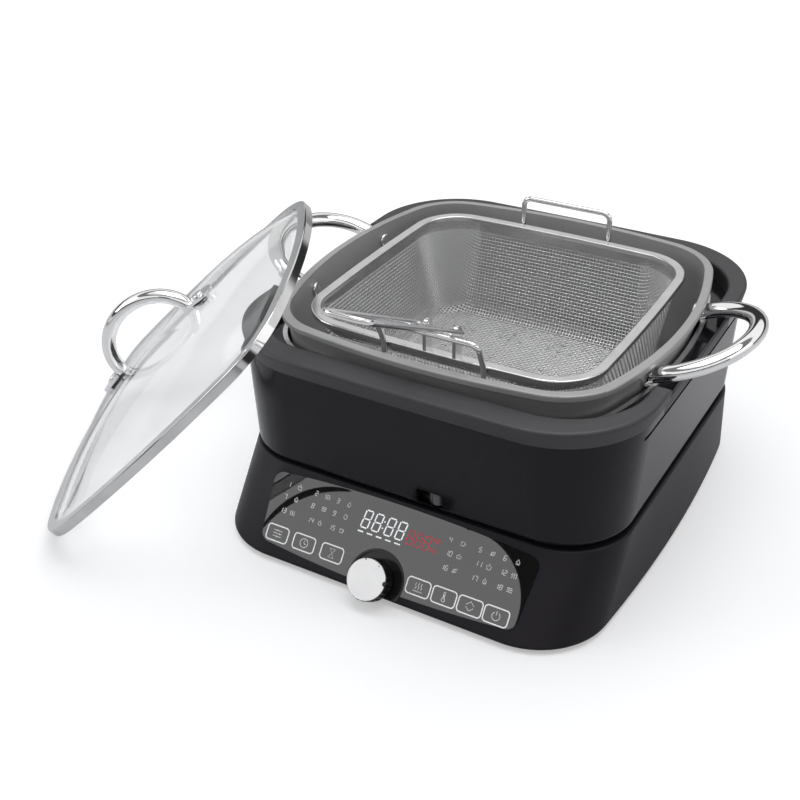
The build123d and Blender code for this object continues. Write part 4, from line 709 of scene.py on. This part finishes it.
# Dial: a fluted cap of gloss black plastic with a bright metal disc set into its top.
# A steel shaft carries it, and a plunger under the shaft works the push switch.
dial_black = surface(
    "dial black", (0.006, 0.006, 0.0065), (0.010, 0.010, 0.0105),
    roughness=0.22, drift=0.06, patches=120, grain=1200, depth=0.000006, specular_ior_level=0.5,
)
dress(dial_black, "dial_body")
disc_silver = surface(
    "dial disc silver", (0.88, 0.88, 0.89), (0.95, 0.95, 0.95),
    roughness=0.3, drift=0.06, patches=60, grain=1500, depth=0.000003, stretch=(0.03, 1, 1),
    metallic=0.7,
)
dress(satin_black, "dial_plunger")
dress(zinc_plate, "dial_shaft")
dial_x = -4.0
dial_y = -24.5
dial_top = 15.4
dial_matrix = panel_matrix @ Matrix.Translation(Vector((dial_x, dial_y, dial_top)) * mm)
cap_rings = ((12.4, -1.9), (12.4, -0.75), (14.25, -0.75), (14.25, -0.25), (14.0, 0.0))
cap_notch_radius = 12.5
cap_notch_angle = 4.0
cap_notch_half = 7.0
cap_count = 120
cap_points = []
for cap_radius, cap_height in cap_rings:
    for i in range(cap_count):
        around = 360 * i / cap_count
        turn = radians(around)
        in_notch = abs((around - cap_notch_angle + 180) % 360 - 180) < cap_notch_half
        reach = min(cap_radius, cap_notch_radius) if in_notch else cap_radius
        cap_points.append((reach * cos(turn) * mm, reach * sin(turn) * mm, cap_height * mm))
cap_faces = [
    (ring * cap_count + i, ring * cap_count + (i + 1) % cap_count,
     (ring + 1) * cap_count + (i + 1) % cap_count, (ring + 1) * cap_count + i)
    for ring in range(len(cap_rings) - 1)
    for i in range(cap_count)
]
cap_faces += [tuple(range(cap_count))[::-1], tuple(range(len(cap_points) - cap_count, len(cap_points)))]
cap_mesh = bpy.data.meshes.new("dial_cap")
cap_mesh.from_pydata(cap_points, [], cap_faces)
cap_mesh.transform(dial_matrix)
cap_mesh.materials.append(disc_silver)
add_piece("dial_cap", cap_mesh, "dial", "dial_silver", "dial_face")
mark_width = 0.9
mark_strokes = [[(-4.2, 12.2), (-4.3, 13.3)], [(6.3, 10.9), (6.7, 11.5)]]
mark_ink = surface(
    "dial mark ink", (0.01, 0.01, 0.01), (0.03, 0.03, 0.03),
    roughness=0.5, drift=0.1, patches=400, grain=3000, depth=0.000004,
)
mark_mesh = grown_mesh(
    "dial_marks", line_guide("dial_marks", mark_strokes), printed_line,
    width=mark_width * mm, thickness=print_thickness * mm, ink=mark_ink,
)
mark_mesh.transform(dial_matrix)
add_piece("dial_marks", mark_mesh, "dial", "dial_silver")

# Housing: a glossy black shell round the pot, on a plated floor ring, with a bright liner inside.
# Its two matte grips wrap the front and back corners, and matte strips fill the sides between them.
housing_black = surface(
    "housing gloss black", (0.0063, 0.0057, 0.0075), (0.0083, 0.0076, 0.0096),
    roughness=0.13, drift=0.04, patches=9, grain=600, depth=0.000003,
    specular_ior_level=0.2, specular_tint=(0.96, 0.9, 1.0, 1),
)
dress(housing_black, "outer_shell")
dress(tray_steel, "inner_liner", "housing_floor")
dress(zinc_plate, "grip_screws")
grip_matte = surface(
    "grip matte charcoal", (0.029, 0.028, 0.031), (0.038, 0.0368, 0.04),
    roughness=0.5, drift=0.08, patches=30, grain=1500, depth=0.00003,
)
dress(grip_matte, "front_grip", "back_grip", "side_trims")

# Latch: a thumb slider of satin plastic in a pocket at the foot of the housing.
# Its toe reaches down through a slot in the base's deck and locks the housing there.
latch_satin = surface(
    "latch satin", (0.085, 0.085, 0.088), (0.11, 0.11, 0.113),
    roughness=0.28, drift=0.08, patches=90, grain=1400, depth=0.00001,
)
dress(latch_satin, "latch_slider")

# Pot: pressed aluminium with a grey satin coating, lightened towards its turned-out lip by a painted sheen.
# Two thick chromed handles are held to it by rivets with domed heads inside.
pot_coating = surface(
    "pot grey coating", (0.27, 0.268, 0.268), (0.31, 0.308, 0.308),
    roughness=0.4, drift=0.07, patches=12, grain=2200, depth=0.000012, metallic=0.25,
)
# Painted sheen: above the lower height the coating's colour is raised, up to a quarter brighter at the lip,
# standing for the light on the upper wall and lip.
pot_sheen_low = 0.125
pot_sheen_high = 0.156
pot_sheen_gain = 1.25
pot_nodes = pot_coating.node_tree
pot_shader = pot_nodes.nodes["Principled BSDF"]
pot_place = pot_nodes.nodes.new("ShaderNodeTexCoord")
pot_axes = pot_nodes.nodes.new("ShaderNodeSeparateXYZ")
pot_lip_sheen = pot_nodes.nodes.new("ShaderNodeMapRange")
pot_lip_sheen.inputs["From Min"].default_value = pot_sheen_low
pot_lip_sheen.inputs["From Max"].default_value = pot_sheen_high
pot_lip_sheen.inputs["To Min"].default_value = 1.0
pot_lip_sheen.inputs["To Max"].default_value = pot_sheen_gain
pot_shade = pot_nodes.nodes.new("ShaderNodeVectorMath")
pot_shade.operation = "SCALE"
pot_nodes.links.new(pot_shader.inputs["Base Color"].links[0].from_socket, pot_shade.inputs[0])
pot_nodes.links.new(pot_place.outputs["Object"], pot_axes.inputs[0])
pot_nodes.links.new(pot_axes.outputs["Z"], pot_lip_sheen.inputs["Value"])
pot_nodes.links.new(pot_lip_sheen.outputs["Result"], pot_shade.inputs["Scale"])
pot_nodes.links.new(pot_shade.outputs["Vector"], pot_shader.inputs["Base Color"])
dress(pot_coating, "pot")
handle_chrome = surface(
    "handle chrome", (0.78, 0.78, 0.79), (0.88, 0.88, 0.88),
    roughness=0.045, drift=0.02, patches=40, grain=700, depth=0.000002, metallic=1.0,
)
dress(handle_chrome, "pot_handle_left", "pot_handle_right")
rivet_steel = surface(
    "rivet steel", (0.56, 0.56, 0.57), (0.68, 0.68, 0.68),
    roughness=0.2, drift=0.08, patches=200, grain=1500, depth=0.000006, metallic=1.0,
)
dress(rivet_steel, "pot_rivets")

# Steam rack: a pressed steel plate on four short legs, with clusters of round holes.
# It stands in the pot under the basket and shows through the weave.
rack_steel = surface(
    "rack steel", (0.62, 0.62, 0.62), (0.72, 0.72, 0.72),
    roughness=0.3, drift=0.1, patches=24, grain=900, depth=0.00001, stretch=(1, 0.06, 1), metallic=0.8,
)
dress(rack_steel, "steam_rack")

# Basket: one square of woven stainless wire, drawn down into a bag with rounded lower edges.
# The weave shears where it is drawn round the corners, and a plain strip binds it under the rim.
weave_pitch = 2.7
weave_wire = 0.36
weave_faces = 4
weave_floor = 78.9
weave_half_width = 93.4
weave_half_depth = 90.4
weave_corner = 24.0
weave_round = 8.0
weave_rise = 75.7
weave_spread = 15.3
weave_lean = atan2(weave_rise, weave_spread)
weave_top = 150.5
weave_half_grid = 180
weave_tangent = weave_round * tan(weave_lean / 2)


def weave_station(a, b):
    """For a point of the flat square: the nearest point of the floor's outline, the way out, how far."""
    over_x = abs(a) - (weave_half_width - weave_corner)
    over_y = abs(b) - (weave_half_depth - weave_corner)
    if over_x > 0 and over_y > 0:
        reach = hypot(over_x, over_y)
        way = (over_x / reach, over_y / reach)
        edge = (
            weave_half_width - weave_corner + way[0] * weave_corner,
            weave_half_depth - weave_corner + way[1] * weave_corner,
        )
        away = reach - weave_corner
    elif over_x > over_y:
        way, edge, away = (1, 0), (weave_half_width, abs(b)), over_x - weave_corner
    else:
        way, edge, away = (0, 1), (abs(a), weave_half_depth), over_y - weave_corner
    side, end = (1 if a >= 0 else -1), (1 if b >= 0 else -1)
    return (edge[0] * side, edge[1] * end), (way[0] * side, way[1] * end), away


def weave_place(edge, way, run, flat):
    """Where the bag lies, and its outward direction, at a run that starts inside the floor's edge."""
    arc = weave_round * weave_lean
    if run < 0:
        return Vector((*flat, weave_floor)), Vector((0, 0, -1))
    turn = min(run / weave_round, weave_lean)
    rest = max(0.0, run - arc)
    out = -weave_tangent + weave_round * sin(turn) + rest * cos(weave_lean)
    height = weave_round * (1 - cos(turn)) + rest * sin(weave_lean)
    place = Vector((edge[0] + way[0] * out, edge[1] + way[1] * out, weave_floor + height))
    return place, Vector((way[0] * sin(turn), way[1] * sin(turn), -cos(turn)))


weave_bow_height = 76
weave_bow_half_width = 109
weave_bow_half_depth = 106
weave_side_bow = 0.0274
weave_end_bow = 0.0377


def weave_bowed(place):
    """Lets the four sides bulge a little towards their middles."""
    share = 0.5 + 0.5 * max(0.0, place.z - weave_floor) / weave_bow_height
    x, y = place.x / weave_bow_half_width, place.y / weave_bow_half_depth
    bowed_x = place.x * (1 - weave_side_bow * share * y * y)
    bowed_y = place.y * (1 - weave_end_bow * share * x * x)
    return Vector((bowed_x, bowed_y, place.z))


def weave_wires(along_x):
    """The wires that run one way over the flat square, as points with a direction and a side to pass on."""
    reach = int(weave_half_grid / weave_pitch)
    points, outwards, sides, edges = [], [], [], []
    for row in range(-reach, reach + 1):
        last = None
        for step in range(-reach, reach + 1):
            across, along = row * weave_pitch, step * weave_pitch
            a, b = (along, across) if along_x else (across, along)
            edge, way, away = weave_station(a, b)
            place, outward = weave_place(edge, way, away + weave_tangent, (a, b))
            if place.z > weave_top:
                last = None
                continue
            points.append(weave_bowed(place) * mm)
            outwards.append(outward)
            sides.append((1.0 if (row + step) % 2 == 0 else -1.0) * (1 if along_x else -1))
            if last is not None:
                edges.append((last, len(points) - 1))
            last = len(points) - 1
    return points, outwards, sides, edges


def wire_tree():
    """Turns drawn wires into round ones that pass over and under each other."""
    tree, entry, leave = new_tree(
        "woven wire",
        "GeometryNodeTree",
        (("Geometry", "Geometry", None), ("Wire Radius", "Float", 0.0003), ("Faces", "Int", 3),
         ("Steel", "Material", None)),
        (("Geometry", "Geometry"),),
    )
    outward = tree.nodes.new("GeometryNodeInputNamedAttribute")
    outward.data_type = "FLOAT_VECTOR"
    outward.inputs["Name"].default_value = "outward"
    side = tree.nodes.new("GeometryNodeInputNamedAttribute")
    side.data_type = "FLOAT"
    side.inputs["Name"].default_value = "side"
    lift = tree.nodes.new("ShaderNodeMath")
    lift.operation = "MULTIPLY"
    shift = tree.nodes.new("ShaderNodeVectorMath")
    shift.operation = "SCALE"
    moved = tree.nodes.new("GeometryNodeSetPosition")
    wires = tree.nodes.new("GeometryNodeMeshToCurve")
    section = tree.nodes.new("GeometryNodeCurvePrimitiveCircle")
    drawn = tree.nodes.new("GeometryNodeCurveToMesh")
    drawn.inputs["Fill Caps"].default_value = True
    smooth = tree.nodes.new("GeometryNodeSetShadeSmooth")
    real = tree.nodes.new("GeometryNodeRealizeInstances")
    finished = tree.nodes.new("GeometryNodeSetMaterial")
    tree.links.new(side.outputs["Attribute"], lift.inputs[0])
    tree.links.new(entry.outputs["Wire Radius"], lift.inputs[1])
    tree.links.new(outward.outputs["Attribute"], shift.inputs[0])
    tree.links.new(lift.outputs[0], shift.inputs["Scale"])
    pass_on(tree, entry, moved, wires, drawn, smooth, real, finished, leave)
    tree.links.new(shift.outputs[0], moved.inputs["Offset"])
    tree.links.new(entry.outputs["Faces"], section.inputs["Resolution"])
    tree.links.new(entry.outputs["Wire Radius"], section.inputs["Radius"])
    tree.links.new(section.outputs["Curve"], drawn.inputs["Profile Curve"])
    tree.links.new(entry.outputs["Steel"], finished.inputs["Material"])
    return tree


weave_steel = surface(
    "woven steel wire", (0.88, 0.88, 0.88), (0.96, 0.96, 0.96),
    roughness=0.24, drift=0.08, patches=80, grain=2500, depth=0.000003, metallic=0.65,
)
woven_wire = wire_tree()
for weave_name, weave_along in (("basket_warp", False), ("basket_weft", True)):
    weave_points, weave_outwards, weave_sides, weave_edges = weave_wires(weave_along)
    weave_guide = bpy.data.meshes.new(weave_name)
    weave_guide.from_pydata(weave_points, weave_edges, [])
    weave_guide.attributes.new("outward", "FLOAT_VECTOR", "POINT").data.foreach_set(
        "vector", [c for outward in weave_outwards for c in outward]
    )
    weave_guide.attributes.new("side", "FLOAT", "POINT").data.foreach_set("value", weave_sides)
    weave_mesh = grown_mesh(
        weave_name, weave_guide, woven_wire,
        wire_radius=weave_wire * mm, faces=weave_faces, steel=weave_steel,
    )
    add_piece(weave_name, weave_mesh, "basket", "mesh_steel", "basket_mesh")

# Collar and rim: a plain steel strip folded over the top edge of the weave, and the satin band above it.
# Two wire loops, the handle's brackets and the long handle are polished steel wire and sheet.
basket_polish = surface(
    "polished basket steel", (0.72, 0.72, 0.73), (0.82, 0.82, 0.82),
    roughness=0.12, drift=0.05, patches=60, grain=1200, depth=0.000003, metallic=1.0,
)
dress(basket_polish, "basket_loop_front", "basket_loop_rear", "handle_brackets", "basket_handle")
rim_satin = surface(
    "basket rim satin", (0.5, 0.5, 0.505), (0.6, 0.6, 0.6),
    roughness=0.2, drift=0.08, patches=50, grain=1100, depth=0.000006, metallic=1.0,
)
dress(rim_satin, "basket_rim")
collar_low = 147.4
collar_top = 154.5
collar_count = 30
collar_wall = 0.45
collar_points = []
collar_faces = []
for side, end in ((1, 1), (-1, 1), (-1, -1), (1, -1)):
    corner_x, corner_y = (weave_half_width - weave_corner) * side, (weave_half_depth - weave_corner) * end
    for step in range(collar_count + 1):
        share = step / collar_count
        angle = radians(90) * (share if side * end > 0 else 1 - share)
        way = (cos(angle) * side, sin(angle) * end)
        edge = (corner_x + way[0] * weave_corner, corner_y + way[1] * weave_corner)
        for height, wall in (
            (collar_low, -collar_wall), (collar_low, collar_wall),
            (collar_top, collar_wall), (collar_top, -collar_wall),
        ):
            climb = height - weave_floor - weave_round * (1 - cos(weave_lean))
            run = weave_round * weave_lean + climb / sin(weave_lean)
            place, outward = weave_place(edge, way, run, edge)
            collar_points.append(weave_bowed(place + outward * wall) * mm)
collar_stations = len(collar_points) // 4
for station in range(collar_stations):
    near, far = 4 * station, 4 * ((station + 1) % collar_stations)
    for i in range(4):
        j = (i + 1) % 4
        collar_faces.append((near + i, far + i, far + j, near + j))
collar_mesh = bpy.data.meshes.new("basket_collar")
collar_mesh.from_pydata(collar_points, [], collar_faces)
collar_mesh.materials.append(rim_satin)
add_piece("basket_collar", collar_mesh, "basket", "mesh_steel")

# Lid: clear tempered glass bent up into a low dome, clamped in a pressed steel rim with a skirt.
# A bowed chromed handle stands on two riveted feet with soft washers under them.
lid_half_width = 137.0
lid_half_depth = 130.0
lid_corner = 50.0
lid_side_bow = 22.0
lid_end_bow = 11.0
lid_skirt = 7.0
lid_band = 9.0
lid_sheet = 1.2
glass_thickness = 4.0
glass_edge_gap = 0.06
glass_dome = 24.0
dome_power = 2.4
lid_lean = radians(44.4)
lid_turn = radians(28.2)
lid_spin = radians(-1.0)
lid_x = -208.9
lid_y = -118.0
lid_off_table = 0.3
lid_normal = Vector((-sin(lid_lean) * cos(lid_turn), -sin(lid_lean) * sin(lid_turn), cos(lid_lean)))
lid_uphill = Vector((cos(lid_lean) * cos(lid_turn), cos(lid_lean) * sin(lid_turn), sin(lid_lean)))
lid_long = lid_uphill * cos(lid_spin) + lid_normal.cross(lid_uphill) * sin(lid_spin)
lid_height = lid_half_width * sin(lid_lean) + lid_skirt * cos(lid_lean) + lid_off_table
lid_matrix = Matrix.Translation(Vector((lid_x, lid_y, lid_height)) * mm) @ Matrix(
    (lid_long, lid_normal.cross(lid_long), lid_normal)
).transposed().to_4x4()


def bowed_outline(grow, steps=14):
    """The lid's outline, grown by a distance, as points."""
    side_chord = lid_half_depth - lid_end_bow
    end_chord = lid_half_width - lid_side_bow
    side_radius = (side_chord**2 + lid_side_bow**2) / (2 * lid_side_bow)
    end_radius = (end_chord**2 + lid_end_bow**2) / (2 * lid_end_bow)
    side_centre = Vector((lid_half_width - side_radius, 0))
    end_centre = Vector((0, lid_half_depth - end_radius))
    side_reach, end_reach = side_radius - lid_corner, end_radius - lid_corner
    between = end_centre - side_centre
    along = (between.length_squared + side_reach**2 - end_reach**2) / (2 * between.length)
    across = sqrt(side_reach**2 - along**2)
    unit = between.normalized()
    corner_centre = side_centre + unit * along + Vector((-unit.y, unit.x)) * across
    side_angle = atan2(corner_centre.y - side_centre.y, corner_centre.x - side_centre.x)
    end_angle = atan2(corner_centre.y - end_centre.y, corner_centre.x - end_centre.x)
    quarter = []
    for centre, radius, first, last in (
        (side_centre, side_radius, 0, side_angle),
        (corner_centre, lid_corner, side_angle, end_angle),
        (end_centre, end_radius, end_angle, pi / 2),
    ):
        for i in range(steps):
            angle = first + (last - first) * i / steps
            quarter.append(centre + Vector((cos(angle), sin(angle))) * (radius + grow))
    half = quarter + [Vector((-p.x, p.y)) for p in reversed(quarter[1:])]
    half.insert(len(quarter), Vector((0, lid_half_depth + grow)))
    return half + [Vector((-p.x, -p.y)) for p in half]


def dome_ring(step, clamped, drop):
    """A ring of the dome, at a share of the way out to where the glass is clamped."""
    height = glass_dome * (1 - step**dome_power) - lid_sheet - drop
    return [(p.x * step, p.y * step, height) for p in clamped]


dome_count = 20
clamped_above = bowed_outline(-lid_band)
clamped_below = bowed_outline(-lid_band - glass_thickness / 2)
glass_edge = bowed_outline(-lid_sheet - glass_edge_gap)
glass_rings = [dome_ring(i / dome_count, clamped_above, 0) for i in range(1, dome_count + 1)]
glass_rings += [[(p.x, p.y, -lid_sheet - drop) for p in glass_edge] for drop in (0, glass_thickness)]
glass_rings += [dome_ring(i / dome_count, clamped_below, glass_thickness) for i in range(dome_count, 0, -1)]
glass_points = [point for ring in glass_rings for point in ring]
ring_size = len(glass_rings[0])
glass_faces = []
for ring in range(len(glass_rings) - 1):
    near, far = ring * ring_size, (ring + 1) * ring_size
    for i in range(ring_size):
        j = (i + 1) % ring_size
        glass_faces.append((near + i, far + i, far + j, near + j))
for ring, drop in ((0, 0), (len(glass_rings) - 1, glass_thickness)):
    glass_points.append((0, 0, glass_dome - lid_sheet - drop))
    for i in range(ring_size):
        j = (i + 1) % ring_size
        rim_pair = (ring * ring_size + i, ring * ring_size + j)
        glass_faces.append((*(rim_pair if ring == 0 else rim_pair[::-1]), len(glass_points) - 1))
glass_mesh = bpy.data.meshes.new("lid_dome")
glass_mesh.from_pydata([Vector(point) * mm for point in glass_points], [], glass_faces)
glass_mesh.transform(lid_matrix)
glass_mesh.shade_smooth()
glass_clear = surface(
    "lid glass", (0.83, 0.84, 0.845), (0.87, 0.88, 0.88),
    roughness=0.02, drift=0.01, patches=20, grain=200, depth=0.000001,
    transmission_weight=1.0, ior=1.45,
)
glass_shadow = (0.84, 0.85, 0.86, 1)
glass_nodes = glass_clear.node_tree
glass_rays = glass_nodes.nodes.new("ShaderNodeLightPath")
glass_thin = glass_nodes.nodes.new("ShaderNodeBsdfTransparent")
glass_thin.inputs["Color"].default_value = glass_shadow
glass_mix = glass_nodes.nodes.new("ShaderNodeMixShader")
glass_output = glass_nodes.nodes["Material Output"]
glass_nodes.links.new(glass_rays.outputs["Is Shadow Ray"], glass_mix.inputs["Fac"])
glass_nodes.links.new(glass_nodes.nodes["Principled BSDF"].outputs[0], glass_mix.inputs[1])
glass_nodes.links.new(glass_thin.outputs[0], glass_mix.inputs[2])
glass_nodes.links.new(glass_mix.outputs[0], glass_output.inputs["Surface"])
glass_mesh.materials.append(glass_clear)
add_piece("lid_dome", glass_mesh, "lid", "lid_glass", "lid_glass")
rim_steel = surface(
    "lid rim steel", (0.56, 0.56, 0.565), (0.66, 0.66, 0.66),
    roughness=0.07, drift=0.04, patches=40, grain=1100, depth=0.000004, metallic=1.0,
)
dress(rim_steel, "lid_rim")
dress(handle_chrome, "lid_handle", "lid_rivets")
dress(foot_rubber, "lid_washers")
